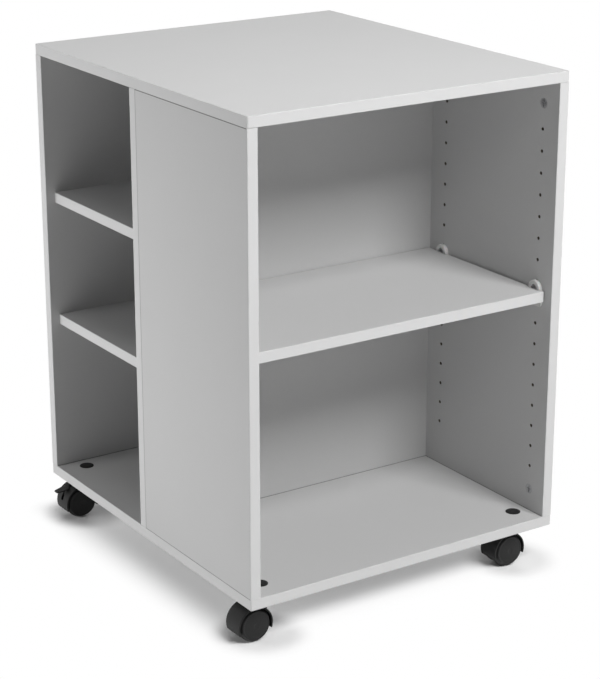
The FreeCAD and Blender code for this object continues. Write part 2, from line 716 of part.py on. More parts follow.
def castor_socket(label, x, y):
    """A flanged bush in the bottom panel that the castor's stem turns in."""
    body = new_body(label)
    revolve(body, "y", (
        (SOCKET_BORE, "-{socket_flange}"),
        ("{socket_flange_diameter} / 2", "-{socket_flange}"),
        ("{socket_flange_diameter} / 2", "0"),
        ("{socket_diameter} / 2", "0"),
        ("{socket_diameter} / 2", "{panel}"),
        (SOCKET_BORE, "{panel}"),
    ))
    place(body, x, y, "{castor_height}")


def castor_stem(label, x, y):
    """A steel stem with a collar, held in the hood and turning in the socket."""
    body = new_body(label)
    radius = "{stem_diameter} / 2"
    collar = "{stem_collar_diameter} / 2"
    in_socket = "{panel} - {cap_plug} - {stem_end_gap}"
    top = f"{{stem_collar}} + {{swivel_gap}} + {{socket_flange}} + {in_socket}"
    revolve(body, "y", (
        ("0", "-{stem_grip}"),
        (radius, "-{stem_grip}"),
        (radius, "0"),
        (collar, "0"),
        (collar, "{stem_collar}"),
        (radius, "{stem_collar}"),
        (radius, f"{top} - {{stem_chamfer}}"),
        (f"{radius} - {{stem_chamfer}}", top),
        ("0", top),
    ))
    place(body, x, y, BOSS_TOP)


def castor_hood(label, x, y, braked):
    """The plastic hood: a web between the wheels, a cover over them and a boss for the stem."""
    axle_x = "-{castor_trail}"
    cover = cylinder(
        f"{label}_cover", HOOD_RADIUS, f"2 * {HOOD_HALF}", (axle_x, HOOD_HALF, AXLE_LEVEL),
        ALONG_AXLE, "180 + {hood_tail_angle}",
    )
    lip = cylinder(
        f"{label}_lip", HOOD_RADIUS, f"2 * {HOOD_HALF}", (axle_x, f"-{HOOD_HALF}", AXLE_LEVEL),
        TO_BACK, "{hood_lip_angle}",
    )
    web = "{web_thickness}"
    hub = cylinder(
        f"{label}_hub", "{web_hub_diameter} / 2", web, (axle_x, f"{web} / 2", AXLE_LEVEL),
        ALONG_AXLE,
    )
    boss = cylinder(
        f"{label}_boss", "{boss_diameter} / 2", f"{BOSS_TOP} - {AXLE_LEVEL}",
        ("0", "0", AXLE_LEVEL),
    )
    well_width = "({wheel_width} + 2 * {web_clearance})"
    tools = [
        cylinder(
            f"{label}_{side}_well", WELL_RADIUS, well_width, (axle_x, start, AXLE_LEVEL),
            ALONG_AXLE,
        )
        for side, start in (("front", f"-{web} / 2"), ("rear", f"{web} / 2 + {well_width}"))
    ]
    tools.append(cylinder(
        f"{label}_axle_bore", "{axle_diameter} / 2", web, (axle_x, f"{web} / 2", AXLE_LEVEL),
        ALONG_AXLE,
    ))
    tools.append(cylinder(
        f"{label}_stem_bore", "{stem_diameter} / 2", "{stem_grip}",
        ("0", "0", f"{BOSS_TOP} - {{stem_grip}}"),
    ))
    if braked:
        pivot_x = "(-{castor_trail} - {lever_pivot_back})"
        pivot_z = f"({AXLE_LEVEL} + {{lever_pivot_rise}})"
        room = "({lever_arm_heel} + {lever_arm_thickness} / 2)"
        slot_width = "({lever_arm_width} + 2 * {lever_clearance})"
        tail = f"(-{{castor_trail}} - {HOOD_RADIUS})"
        tools.append(box(
            f"{label}_lever_slot", f"{pivot_x} + {room} - {tail}", slot_width,
            f"{room} + {{lever_slot_rise}}", (tail, f"-{slot_width} / 2", f"{pivot_z} - {room}"),
        ))
        tools.append(cylinder(
            f"{label}_pin_bore", "{lever_pin_diameter} / 2", web,
            (pivot_x, f"{web} / 2", pivot_z), ALONG_AXLE,
        ))
    solid = fuse(f"{label}_solid", [cover, lip, hub, boss])
    carved = cut(f"{label}_carved", solid, fuse(f"{label}_tools", tools))
    doc.recompute()
    side = value(HOOD_HALF)
    radius = value(HOOD_RADIUS)
    arcs = [
        index
        for index, edge in enumerate(carved.Shape.Edges, 1)
        if on_plane(edge, "y", side) or on_plane(edge, "y", -side)
        if isinstance(edge.Curve, Part.Circle) and abs(edge.Curve.Radius - radius) < 1e-6
    ]
    hood = doc.addObject("Part::Fillet", label)
    hood.Base = carved
    rounding = value("{hood_round}")
    hood.Edges = [(index, rounding, rounding) for index in arcs]
    place(hood, x, y, "0")
    nodes.append(hood)


def castor_wheel(label, x, y, turn):
    """A moulded wheel, hollow towards the hood's web. Its closed outer disc stands proud of the
    tread, with a sloping shoulder between them."""
    body = new_body(label)
    radius = "{wheel_diameter} / 2"
    rim = f"{radius} - {{wheel_rim}}"
    hub = "{wheel_hub_diameter} / 2"
    bore = "{axle_diameter} / 2 + {running_clearance}"
    hollow = "{wheel_width} - {wheel_disc}"
    disc = f"{radius} - {{wheel_shoulder}}"
    revolve(body, "z", (
        ("0", WHEEL_BORE),
        (bore, WHEEL_BORE),
        (bore, "0"),
        (hub, "0"),
        (hub, hollow),
        (rim, hollow),
        (rim, "0"),
        (radius, "0"),
        (radius, "{wheel_width} - {wheel_shoulder_depth}"),
        (disc, "{wheel_width}"),
        ("0", "{wheel_width}"),
    ))
    outer = value(disc)
    face = value("{wheel_width}")
    round_edges(
        body, "{wheel_round}",
        lambda edge: on_plane(edge, "y", face) and abs(edge.Curve.Radius - outer) < 1e-6,
    )
    side = -1 if turn is HALF_TURN else 1
    place(body, f"{x} - {{castor_trail}}", f"{y} + {side} * {WHEEL_START}", AXLE_LEVEL, turn)


def brake_lever(label, x, y):
    """A foot lever hinged in the hood's slot: an arm that rises out of the slot, and a tapered
    foot tab on it. Its own X axis runs from the tip to the pivot."""
    body = new_body(label)
    half = "{lever_arm_thickness} / 2"
    neck_top = "{lever_tab_rise} + {lever_tab_overlap}"
    sketch = new_sketch(body, "y")
    add_polygon(sketch, (
        ("{lever_arm_heel}", f"-{half}"),
        (f"{half} - {{lever_cheek_reach}}", f"-{half}"),
        ("-{lever_cheek_reach}", half),
        ("-{lever_neck_reach}", "{lever_cheek_rise}"),
        ("-{lever_neck_reach}", neck_top),
        (half, neck_top),
        ("{lever_arm_heel}", half),
    ))
    pad(body, sketch, "{lever_arm_width}", symmetric=True)
    sketch = new_sketch(body, "z", "{lever_tab_rise}")
    root = "{lever_tab_length} - {lever_reach}"
    add_polygon(sketch, (
        (root, "-{lever_tab_width} / 2"),
        (root, "{lever_tab_width} / 2"),
        ("-{lever_reach}", "{lever_tip_width} / 2"),
        ("-{lever_reach}", "-{lever_tip_width} / 2"),
    ))
    pad(body, sketch, "{lever_tab_thickness}")
    bore = "{lever_pin_diameter} + 2 * {running_clearance}"
    start = "-{lever_arm_width} / 2"
    drill(body, "y", start, 1, "{lever_arm_width}", [("0", "0", bore)])
    tip = -value("{lever_reach}")
    round_edges(body, "{lever_tab_round}", lambda edge: on_plane(edge, "x", tip))
    place(body, x, y, f"{AXLE_LEVEL} + {{lever_pivot_rise}}", FreeCAD.Rotation(-Y_AXIS, 1))
    bind(body, "Placement.Rotation.Angle", "{lever_angle}")


def castors():
    """Four twin-wheel castors, the rear two with a brake."""
    caps = []
    for corner, (from_left, from_front) in CASTORS.items():
        x = f"({LEFT} + {from_left})"
        y = f"({FRONT} + {from_front})"
        castor_socket(f"{corner}_castor_socket", x, y)
        castor_stem(f"{corner}_castor_stem", x, y)
        castor_hood(f"{corner}_castor_hood", x, y, corner in BRAKED)
        half_axle = f"({WHEEL_START} + {WHEEL_BORE} - {{axle_end_gap}})"
        nodes.append(cylinder(
            f"{corner}_castor_axle", "{axle_diameter} / 2", f"2 * {half_axle}",
            (f"{x} - {{castor_trail}}", f"{y} + {half_axle}", AXLE_LEVEL), ALONG_AXLE,
        ))
        castor_wheel(f"{corner}_castor_front_wheel", x, y, HALF_TURN)
        castor_wheel(f"{corner}_castor_rear_wheel", x, y, UPRIGHT)
        if corner in BRAKED:
            pivot_x = f"{x} - {{castor_trail}} - {{lever_pivot_back}}"
            brake_lever(f"{corner}_brake_lever", pivot_x, y)
            nodes.append(cylinder(
                f"{corner}_brake_pin", "{lever_pin_diameter} / 2", "{web_thickness}",
                (pivot_x, f"{y} + {{web_thickness}} / 2", f"{AXLE_LEVEL} + {{lever_pivot_rise}}"),
                ALONG_AXLE,
            ))
        caps.append((x, y, BAY_FLOOR, UPRIGHT))
    cap = new_body("castor_cap", is_node=False)
    revolve(cap, "y", (
        ("0", "-{cap_plug}"),
        (SOCKET_BORE, "-{cap_plug}"),
        (SOCKET_BORE, "0"),
        ("{cap_diameter} / 2", "0"),
        ("{cap_diameter} / 2", "{cap_thickness}"),
        ("0", "{cap_thickness}"),
    ))
    group("castor_caps", cap, caps)


# Checks and files


def check():
    """Stops at an item that failed, a pocket that cut nothing or a shape that isn't sound."""
    for item in doc.Objects:
        if {"Invalid", "Error"} & set(item.State):
            raise RuntimeError(f"{item.Label} failed")
        if item.TypeId == "PartDesign::Pocket":
            if item.Shape.Volume > item.BaseFeature.Shape.Volume - 1:
                raise RuntimeError(f"{item.Label} cuts nothing")
    for node in nodes:
        if node.Shape.isNull() or not node.Shape.isValid():
            raise RuntimeError(f"{node.Label} has no sound shape")


carcass()
front_shelf()
shelf_clips()
fixings()
castors()
doc.recompute()
check()
os.makedirs("parts", exist_ok=True)
for node in nodes:
    node.Shape.exportStep(f"parts/{node.Label}.step")
print(len(nodes), "nodes")
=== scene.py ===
import functools

import bmesh
import bpy
import numpy as np
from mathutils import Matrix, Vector


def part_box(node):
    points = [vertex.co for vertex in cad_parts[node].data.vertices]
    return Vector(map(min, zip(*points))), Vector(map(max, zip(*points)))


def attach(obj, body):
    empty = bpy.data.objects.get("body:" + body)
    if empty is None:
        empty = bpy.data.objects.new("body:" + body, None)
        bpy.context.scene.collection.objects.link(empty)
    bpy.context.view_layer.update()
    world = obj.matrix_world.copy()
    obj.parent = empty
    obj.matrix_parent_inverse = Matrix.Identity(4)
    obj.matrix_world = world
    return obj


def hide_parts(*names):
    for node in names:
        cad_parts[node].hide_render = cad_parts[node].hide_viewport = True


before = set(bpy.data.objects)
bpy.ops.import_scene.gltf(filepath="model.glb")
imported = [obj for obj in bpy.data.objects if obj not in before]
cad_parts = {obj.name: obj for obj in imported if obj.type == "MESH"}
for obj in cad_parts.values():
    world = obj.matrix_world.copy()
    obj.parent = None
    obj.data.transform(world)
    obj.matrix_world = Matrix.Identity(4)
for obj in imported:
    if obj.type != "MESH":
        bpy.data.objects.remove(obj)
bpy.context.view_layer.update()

# The looks of a rolling office cart of grey melamine-faced board: edge bands, shelf clips,
# castors, finishes, studio and camera. Metres, +Z up, the cart's front faces -Y.

bl_info = {
    "name": "Utility cart looks",
    "version": (1, 0, 0),
    "blender": (4, 5, 0),
    "location": "View3D > Sidebar > Cart",
    "description": "Builds the looks of a rolling office cart over its packed frame",
    "category": "Object",
}

MM = 0.001
X, Y, Z = np.eye(3)
# Radius of the ring that closes a turned piece at its axis
PIN_POINT = 0.02 * MM
# Rounding of edges that stay crisp
CRISP = 0.05 * MM
# Bevel along the moulded pieces' edges
SOFT_EDGE = 0.3 * MM
LEVER_SOFT_EDGE = 0.25 * MM
# Turns between faces above which an edge is shaded sharp, and above which it is bevelled
SHARP_TURN = np.radians(35)
BEVEL_TURN = np.radians(40)
# Points round a turned piece
WHEEL_STEPS = 72
FITTING_STEPS = 56
# The picture's width in pixels, and the sensor's in mm
IMAGE_WIDTH = 600
SENSOR_WIDTH = 36

# Boards and the axis across each
BOARDS = {
    "top_panel": "Z", "bottom_panel": "Z", "front_shelf": "Z",
    "lower_side_shelf": "Z", "upper_side_shelf": "Z",
    "left_side_panel": "X", "right_side_panel": "X",
    "divider_panel": "Y", "back_panel": "Y",
}
# Straight edge bands: body, the axis across the band, and the way it faces along that axis
STRIPS = {
    "left_side_front_edging": ("carcass", 1, -1),
    "right_side_front_edging": ("carcass", 1, -1),
    "right_side_rear_edging": ("carcass", 1, 1),
    "divider_edging": ("carcass", 0, -1),
    "back_panel_edging": ("carcass", 0, -1),
    "lower_side_shelf_edging": ("carcass", 0, -1),
    "upper_side_shelf_edging": ("carcass", 0, -1),
    "front_shelf_edging": ("front_shelf", 1, -1),
}
CORNERS = ("front_left", "front_right", "rear_left", "rear_right")
BRAKED = ("rear_left", "rear_right")


# Settings


def colour(name, description, default):
    return bpy.props.FloatVectorProperty(
        name=name, description=description, default=default, subtype="COLOR", size=3, min=0, max=1,
    )


def length(name, description, millimetres):
    return bpy.props.FloatProperty(
        name=name, description=description, default=millimetres * MM, min=0, unit="LENGTH", precision=4,
    )


def angle(name, description, degrees):
    return bpy.props.FloatProperty(
        name=name, description=description, default=np.radians(degrees), subtype="ANGLE",
    )


def share(name, description, default, highest=1.0):
    return bpy.props.FloatProperty(
        name=name, description=description, default=default, min=0, max=highest, subtype="FACTOR",
    )


class CartColours(bpy.types.PropertyGroup):
    """Colours of the cart's finishes."""

    board: colour("Board", "Melamine faces of the boards", (0.550, 0.550, 0.550))
    band: colour("Edge band", "Plastic edge bands of the boards", (0.615, 0.615, 0.615))
    clip: colour("Shelf clip", "White plastic of the shelf clips", (0.70, 0.70, 0.69))
    castor: colour("Castor", "Black plastic of the castor hoods and levers", (0.018, 0.018, 0.018))
    wheel: colour("Wheel", "Black plastic of the castor wheels", (0.018, 0.018, 0.018))
    steel: colour("Steel", "Plated steel of stems, axles and bolts", (0.62, 0.62, 0.61))
    zinc: colour("Zinc", "Cast zinc of the cam locks", (0.50, 0.50, 0.51))
    beech: colour("Beech", "Wood of the dowels", (0.56, 0.39, 0.23))


class CartSizes(bpy.types.PropertyGroup):
    """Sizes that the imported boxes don't give."""

    band: length("Edge band", "Thickness of the edge bands", 2)
    band_round: length("Band rounding", "Rounding of the edge bands' outer edges", 1)
    pin: length("Clip pin", "Length of a shelf clip's pin in the wall", 9)
    plate: length("Clip plate", "Thickness of a shelf clip's plate", 2)
    foot: length("Clip foot", "A clip's plate below its pin", 5)
    arch_level: length("Arch level", "Clip's pin to the foot of its arch", 21.3)
    arch_wall: length("Arch wall", "Breadth of a clip's arch", 6)
    arch_reach: length("Arch reach", "How far a clip's arch stands out of the wall", 6)
    ledge: length("Ledge", "Breadth of a clip's ledge along the wall", 16)
    ledge_rise: length("Ledge rise", "Clip's pin to the top of its ledge", 5)
    ledge_thickness: length("Ledge thickness", "Thickness of a clip's ledge", 2.5)
    hood_wall: length("Hood wall", "Thickness of a castor hood's cover", 2.4)
    hood_crown: length("Hood crown", "How much a hood's cover falls towards its sides", 0.35)
    hood_lip: angle("Hood lip", "A hood's leading end below its axle", 19)
    web: length("Web", "Thickness of a hood's web between the wheels", 12)
    wheel_dome: length("Wheel dome", "How much a wheel's disc falls towards its rim", 0.7)
    shoulder: length("Wheel shoulder", "Breadth of the sloping shoulder round a wheel's disc", 3.4)
    shoulder_depth: length("Shoulder depth", "Depth of a wheel's sloping shoulder along its axle", 7)
    lever_angle: angle("Lever angle", "Brake lever's foot tab below level when it is free", 10)
    lever_reach: length("Lever reach", "Brake lever's pivot to its tip, along the foot tab", 22.5)
    lever_tab: length("Lever tab", "Length of a brake lever's foot tab", 20.5)
    lever_rise: length("Lever rise", "Brake lever's pivot to the underside of its foot tab", 11.5)
    lever_arm: length("Lever arm", "Breadth of a brake lever's arm", 5)
    lever_slot: length("Lever slot", "Breadth of the slot in a braked hood", 6.2)


class StudioSettings(bpy.types.PropertyGroup):
    """The floor, the light and the camera round the cart."""

    floor: colour("Floor", "Pale floor under the cart", (0.93, 0.93, 0.93))
    ambient: share("Ambient", "Light from all round", 0.04)
    key: share("Key", "Light of the large softbox in front", 0.69, 3.0)
    sheen: share("Sheen", "Light in front that also shows in reflections", 0.26, 3.0)
    side: share("Side", "Light of the softbox low on the left", 0.40, 3.0)
    back: share("Back", "Light of the softbox low behind the cart", 0.42, 3.0)
    top: share("Top", "Light of the softbox above the cart", 0.21, 3.0)
    shadow_lift: share("Shadow lift", "White mixed into the cart's shadow on the floor", 0.24)
    shadow_under: length("Shadow under", "How far under the cart the floor starts to clear", 42)
    shadow_out: length("Shadow out", "How far outside the cart the floor is plain white", 45)
    front_shadow: length("Front shadow", "How far the shadow stays back from the cart's front", 50)
    castor_shadow: length("Castor shadow", "Round each swivel axis, where the floor isn't whitened", 40)
    camera: bpy.props.FloatVectorProperty(
        name="Camera", description="Where the camera stands", size=3, unit="LENGTH",
        default=(-1.5891, -2.4230, 1.3076), subtype="TRANSLATION",
    )
    yaw: angle("Yaw", "The camera's turn from +Y towards +X", 33.44)
    pitch: angle("Pitch", "The camera's tilt below level", 18.83)
    focal: bpy.props.FloatProperty(
        name="Focal length", description="Lens of the camera, in pixels of the picture's width",
        default=2039.3, min=1, subtype="PIXEL",
    )


# Surfaces


def unit(vectors):
    return vectors / np.linalg.norm(vectors, axis=-1, keepdims=True)


def rounded(corners, radii, steps=5, hold=0.15 * MM, closed=True):
    """A line through corners, each turned along an arc of its radius.

    An arc's centre lies on the corner's bisector, and its points sweep evenly from one side's
    foot to the other's. A point further along each side, by the hold, keeps the sides flat.
    """
    corners = np.asarray(corners, float)
    if closed:
        before, here, after = np.roll(corners, 1, 0), corners, np.roll(corners, -1, 0)
    else:
        before, here, after = corners[:-2], corners[1:-1], corners[2:]
    radii = np.broadcast_to(radii, len(here))[:, None]
    back, ahead = unit(before - here), unit(after - here)
    half = np.arccos(np.clip(np.sum(back * ahead, 1, keepdims=True), -1, 1)) / 2
    start = here + back * radii / np.tan(half)
    end = here + ahead * radii / np.tan(half)
    centre = here + unit(back + ahead) * radii / np.sin(half)
    turn = np.pi - 2 * half
    part = np.linspace(0, 1, steps + 1)
    fall = np.sin((1 - part) * turn)[..., None]
    rise = np.sin(part * turn)[..., None]
    sweep = fall * (start - centre)[:, None] + rise * (end - centre)[:, None]
    sweep = sweep / np.sin(turn)[..., None]
    lead = (start + back * hold)[:, None]
    tail = (end + ahead * hold)[:, None]
    line = np.concatenate((lead, centre[:, None] + sweep, tail), 1).reshape(-1, corners.shape[1])
    return line if closed else np.concatenate((corners[:1], line, corners[-1:]))


def rectangle(left, right, low, high):
    """A rectangle's corners, from its lower left one round to its upper left one."""
    return (left, low), (right, low), (right, high), (left, high)


def loft(rings, closed=False):
    """Rings of points, an array of (rings, points, 3), joined by quads to one shell.

    Point j of ring i is joined to point j + 1 and to the same two points of ring i + 1. The
    ends of an open row of rings get one face each.
    """
    count, around = rings.shape[:2]
    index = np.arange(count * around).reshape(count, around)
    here = index if closed else index[:-1]
    following = np.roll(index, -1, 0) if closed else index[1:]
    quads = np.stack((here, np.roll(here, -1, 1), np.roll(following, -1, 1), following), -1)
    caps = [] if closed else [index[:1, ::-1], index[-1:]]
    return rings.reshape(-1, 3), [quads.reshape(-1, 4), *caps]


def slab(outer, inner, keep):
    """A wall between two grids of points, (rows, columns, 3) each, open where keep is false.

    Kept cells give a face on either grid, and each edge that only one kept cell has gives a
    face from grid to grid.
    """
    rows, columns = outer.shape[:2]
    index = np.arange(rows * columns).reshape(rows, columns)
    cells = np.stack((index[:-1, :-1], index[1:, :-1], index[1:, 1:], index[:-1, 1:]), -1)[keep]
    edges = np.stack((cells, np.roll(cells, -1, 1)), -1).reshape(-1, 2)
    total = rows * columns
    border = edges[~np.isin(edges @ (total, 1), edges @ (1, total))]
    walls = np.stack((border[:, 1], border[:, 0], border[:, 0] + total, border[:, 1] + total), -1)
    faces = np.concatenate((cells, cells[:, ::-1] + total, walls))
    used, faces = np.unique(faces, return_inverse=True)
    points = np.concatenate((outer.reshape(-1, 3), inner.reshape(-1, 3)))
    return points[used], [faces.reshape(-1, 4)]


def lathe(profile, origin, axis, steps, closed=False):
    """A profile of radius and height turned round an axis.

    A point is origin + height * axis + radius * (cos t, sin t) across the axis.
    """
    first = unit(np.cross(axis, Z if abs(axis[2]) < 0.5 else X))
    second = np.cross(axis, first)
    turn = np.linspace(0, 2 * np.pi, steps, endpoint=False)[:, None]
    circle = np.cos(turn) * first + np.sin(turn) * second
    radius, height = np.asarray(profile).T[..., None, None]
    return loft(origin + height * axis + radius * circle, closed)


def extrude(outline, depths, origin, first, second, normal):
    """A flat outline carried straight: origin + u * first + v * second + depth * normal."""
    flat = origin + outline[:, :1] * first + outline[:, 1:] * second
    return loft(flat + np.asarray(depths)[:, None, None] * normal)


def box_of(node):
    """A node's lowest and highest corner as arrays."""
    return tuple(np.array(corner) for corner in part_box(node))


def middle_of(node):
    low, high = box_of(node)
    return (low + high) / 2


def smooth(value, low, high):
    """0 up to low, 1 from high, and an even S between them."""
    part = np.clip((value - low) / (high - low), 0, 1)
    return part * part * (3 - 2 * part)


# Pieces


def add_object(name, content):
    """Puts a mesh, a lamp or a camera into the scene."""
    made = bpy.data.objects.new(name, content)
    bpy.context.scene.collection.objects.link(made)
    return made


def make_piece(name, shells, material, body, nodes, soft_edge=0.0, values=None):
    """Puts shells of points and faces into one object that stands for CAD nodes."""
    starts = np.cumsum([0] + [len(points) for points, _ in shells])
    blocks = [block + start for (_, faces), start in zip(shells, starts) for block in faces]
    totals = np.concatenate([np.full(len(block), block.shape[1]) for block in blocks])
    corners = np.concatenate([block.ravel() for block in blocks])
    mesh = bpy.data.meshes.new(name)
    mesh.vertices.add(starts[-1])
    mesh.vertices.foreach_set("co", np.concatenate([points for points, _ in shells]).ravel())
    mesh.loops.add(len(corners))
    mesh.loops.foreach_set("vertex_index", corners)
    mesh.polygons.add(len(totals))
    mesh.polygons.foreach_set("loop_start", np.cumsum(totals) - totals)
    mesh.update(calc_edges=True)
    for value_name, numbers in (values or {}).items():
        mesh.attributes.new(value_name, "FLOAT", "POINT").data.foreach_set("value", numbers)
    if mesh.validate():
        raise RuntimeError(f"{name} has faulty faces")
    outwards = bmesh.new()
    outwards.from_mesh(mesh)
    bmesh.ops.recalc_face_normals(outwards, faces=outwards.faces)
    outwards.to_mesh(mesh)
    outwards.free()
    mesh.shade_smooth()
    mesh.set_sharp_from_angle(angle=SHARP_TURN)
    mesh.materials.append(material)
    piece = add_object(name, mesh)
    if soft_edge:
        bevel = piece.modifiers.new("soft_edge", "BEVEL")
        bevel.width = soft_edge
        bevel.segments = 2
        bevel.limit_method = "ANGLE"
        bevel.angle_limit = BEVEL_TURN
        bevel.harden_normals = True
    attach(piece, body)
    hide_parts(*nodes)


def finish_nodes(names, material):
    """Gives CAD nodes that stay in view their material."""
    for name in names:
        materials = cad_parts[name].data.materials
        materials.clear()
        materials.append(material)


def band_profile(width, thickness, rounding):
    """A band's section: a rectangle of width and thickness with its two outer corners rounded."""
    corners = ((0, 0), (0, thickness), (width, thickness), (width, 0))
    return rounded(corners, (CRISP, rounding, rounding, CRISP))


def strip(node, across, toward, sizes):
    """A straight band: its section carried along its longest side."""
    low, high = box_of(node)
    extent = high - low
    along = int(np.argmax(extent))
    breadth = 3 - across - along
    section = band_profile(extent[breadth], extent[across], sizes.band_round)
    rings = np.empty((2, len(section), 3))
    rings[..., breadth] = low[breadth] + section[:, 0]
    rings[..., across] = (high if toward < 0 else low)[across] + toward * section[:, 1]
    rings[..., along] = np.array((low[along], high[along]))[:, None]
    return loft(rings), np.tile(section[:, 1], 2)


def frame_band(node, sizes, inner_round=0.3 * MM):
    """A band all round a panel: its section carried along a rectangle with rounded corners.

    A point lies between the inner and the outer rectangle, at its share of the thickness.
    """
    low, high = box_of(node)
    section = band_profile(high[2] - low[2], sizes.band, sizes.band_round)
    corner_signs = np.array(((1, 1), (-1, 1), (-1, -1), (1, -1)))
    middle, reach = (low + high)[:2] / 2, (high - low)[:2] / 2
    outer = rounded(middle + corner_signs * reach, inner_round + sizes.band, steps=6)
    inner = rounded(middle + corner_signs * (reach - sizes.band), inner_round, steps=6)
    part = section[:, 1:] / sizes.band
    rings = np.empty((len(outer), len(section), 3))
    rings[..., :2] = inner[:, None] + (outer - inner)[:, None] * part
    rings[..., 2] = low[2] + section[:, 0]
    return loft(rings, closed=True), np.tile(section[:, 1], len(outer))


def shelf_clip(node, sizes):
    """One clip: a plate on the wall, an arch over the shelf, a ledge with a rib, and a pin.

    The arch is a rounded section of radius and depth carried along half a circle.
    """
    low, high = box_of(node)
    out = X if middle_of(node)[0] < 0 else -X
    wall, tip = (low[0] + sizes.pin, high[0]) if out[0] > 0 else (high[0] - sizes.pin, low[0])
    half = (high[1] - low[1]) / 2
    origin = np.array((wall, (low[1] + high[1]) / 2, low[2] + sizes.foot))
    # Plate
    foot_round, plate_round = 4 * MM, 0.3 * MM
    plate = rounded(
        rectangle(-half, half, -sizes.foot, sizes.arch_level),
        (foot_round, foot_round, plate_round, plate_round),
    )
    # Arch
    seat_round, arch_round = 0.2 * MM, 1.2 * MM
    arch = rounded(
        rectangle(half - sizes.arch_wall, half, 0, sizes.arch_reach),
        (seat_round, seat_round, arch_round, arch_round),
    )
    bend = np.linspace(0, np.pi, 37)[:, None, None]
    bow = np.cos(bend) * Y + np.sin(bend) * Z
    ring = origin + sizes.arch_level * Z + arch[:, :1] * bow + arch[:, 1:] * out
    # Ledge and its rib
    side = sizes.ledge / 2
    root_round, ledge_round = 0.3 * MM, 3 * MM
    ledge = rounded(
        rectangle(-side, side, 0, abs(tip - wall)),
        (root_round, root_round, ledge_round, ledge_round),
    )
    ledge_low = sizes.ledge_rise - sizes.ledge_thickness
    rib_root, rib_reach, rib_foot, rib_top = np.array((1, 9.5, -4, 2.7)) * MM
    rib = rounded(((rib_root, rib_foot), (rib_reach, rib_top), (rib_root, rib_top)), 0.4 * MM)
    rib_half = 1.2 * MM
    # Pin
    pin_radius, pin_root, pin_chamfer = 2.5 * MM, 1 * MM, 0.7 * MM
    pin = rounded(
        (
            (PIN_POINT, -pin_root), (pin_radius, -pin_root), (pin_radius, sizes.pin - pin_chamfer),
            (pin_radius - pin_chamfer, sizes.pin), (PIN_POINT, sizes.pin),
        ),
        0.2 * MM, closed=False,
    )
    return [
        extrude(plate, (0, sizes.plate), origin, Y, Z, out),
        loft(ring),
        extrude(ledge, (ledge_low, sizes.ledge_rise), origin, Y, out, Z),
        extrude(rib, (-rib_half, rib_half), origin, out, Z, Y),
        lathe(pin, origin, -out, steps=32),
    ]


def sector(centre, radii, angles, depths, steps=49):
    """A flat part of a ring between two radii, square to the axle."""
    turn = np.linspace(*angles, steps)
    rim = np.stack((-np.cos(turn), np.sin(turn)), -1)
    outline = np.concatenate((rim * radii[1], rim[::-1] * radii[0]))
    return extrude(outline, depths, centre, X, Z, Y)


def castor_hood(corner, sizes):
    """One hood: a cover round the wheels, a web between them, a hub and a boss for the stem.

    Cover points lie at radius r(y) from the axle at an angle that runs from the tail over the
    top to the leading lip.
    """
    low, high = box_of(f"{corner}_castor_hood")
    centre = middle_of(f"{corner}_castor_axle")
    radius = centre[0] - low[0]
    well = radius - sizes.hood_wall
    half = (high[1] - low[1]) / 2
    tail = -np.arcsin((centre[2] - low[2]) / radius)
    lip = np.pi + sizes.hood_lip
    slot_half, web_half = sizes.lever_slot / 2, sizes.web / 2
    slot_sill, slot_back = 5 * MM, 7 * MM
    slot_low, slot_high = np.arcsin(slot_sill / radius), np.arccos(slot_back / radius)
    # Cover
    cover_round = 0.9 * MM
    side_line = ((-half, well), (-half, radius), (half, radius), (half, well))
    edge = rounded(side_line, cover_round, closed=False)[1:-1]
    flat = np.linspace(-0.75, 0.75, 7) * half
    flat[[2, 4]] = -slot_half, slot_half
    side = len(edge) // 2
    across = np.concatenate((edge[:side, 0], flat, edge[side:, 0]))
    reach = np.concatenate((edge[:side, 1], np.full_like(flat, radius), edge[side:, 1]))
    reach = reach - sizes.hood_crown * (across / half) ** 2
    turn = np.unique(np.concatenate((
        np.linspace(tail, slot_low, 10), np.linspace(slot_low, slot_high, 16),
        np.linspace(slot_high, lip, 48),
    )))
    rim = -np.cos(turn)[:, None, None] * X + np.sin(turn)[:, None, None] * Z
    sideways = across[:, None] * Y
    keep = np.ones((len(turn) - 1, len(across) - 1), bool)
    # Web, in one plate, or round the slot of a braked hood
    inset = 0.02
    whole = tail + inset, lip - inset
    plates = [(whole, (-web_half, web_half))]
    if corner in BRAKED:
        slack = 1e-9
        in_turn = (turn[:-1] > slot_low - slack) & (turn[1:] < slot_high + slack)
        in_breadth = (across[:-1] > -slot_half - slack) & (across[1:] < slot_half + slack)
        keep[np.ix_(in_turn, in_breadth)] = False
        plates = [
            (whole, (-slot_half, -web_half)), (whole, (slot_half, web_half)),
            ((tail + inset, slot_low - inset), (-slot_half, slot_half)),
            ((slot_high + inset, lip - inset), (-slot_half, slot_half)),
        ]
    web_bore, web_sink = 4 * MM, 0.8 * MM
    web = [sector(centre, (web_bore, well + web_sink), angles, depths) for angles, depths in plates]
    cover = slab(centre + reach[:, None] * rim + sideways, centre + well * rim + sideways, keep)
    # Hub
    hub_radius, hub_round = 7 * MM, 0.4 * MM
    hub_line = (
        (PIN_POINT, -web_half), (hub_radius, -web_half), (hub_radius, web_half), (PIN_POINT, web_half),
    )
    hub = lathe(rounded(hub_line, hub_round, closed=False), centre, Y, 40)
    return [cover, *web, hub, hood_boss(middle_of(f"{corner}_castor_stem"), centre, radius, high[2])]


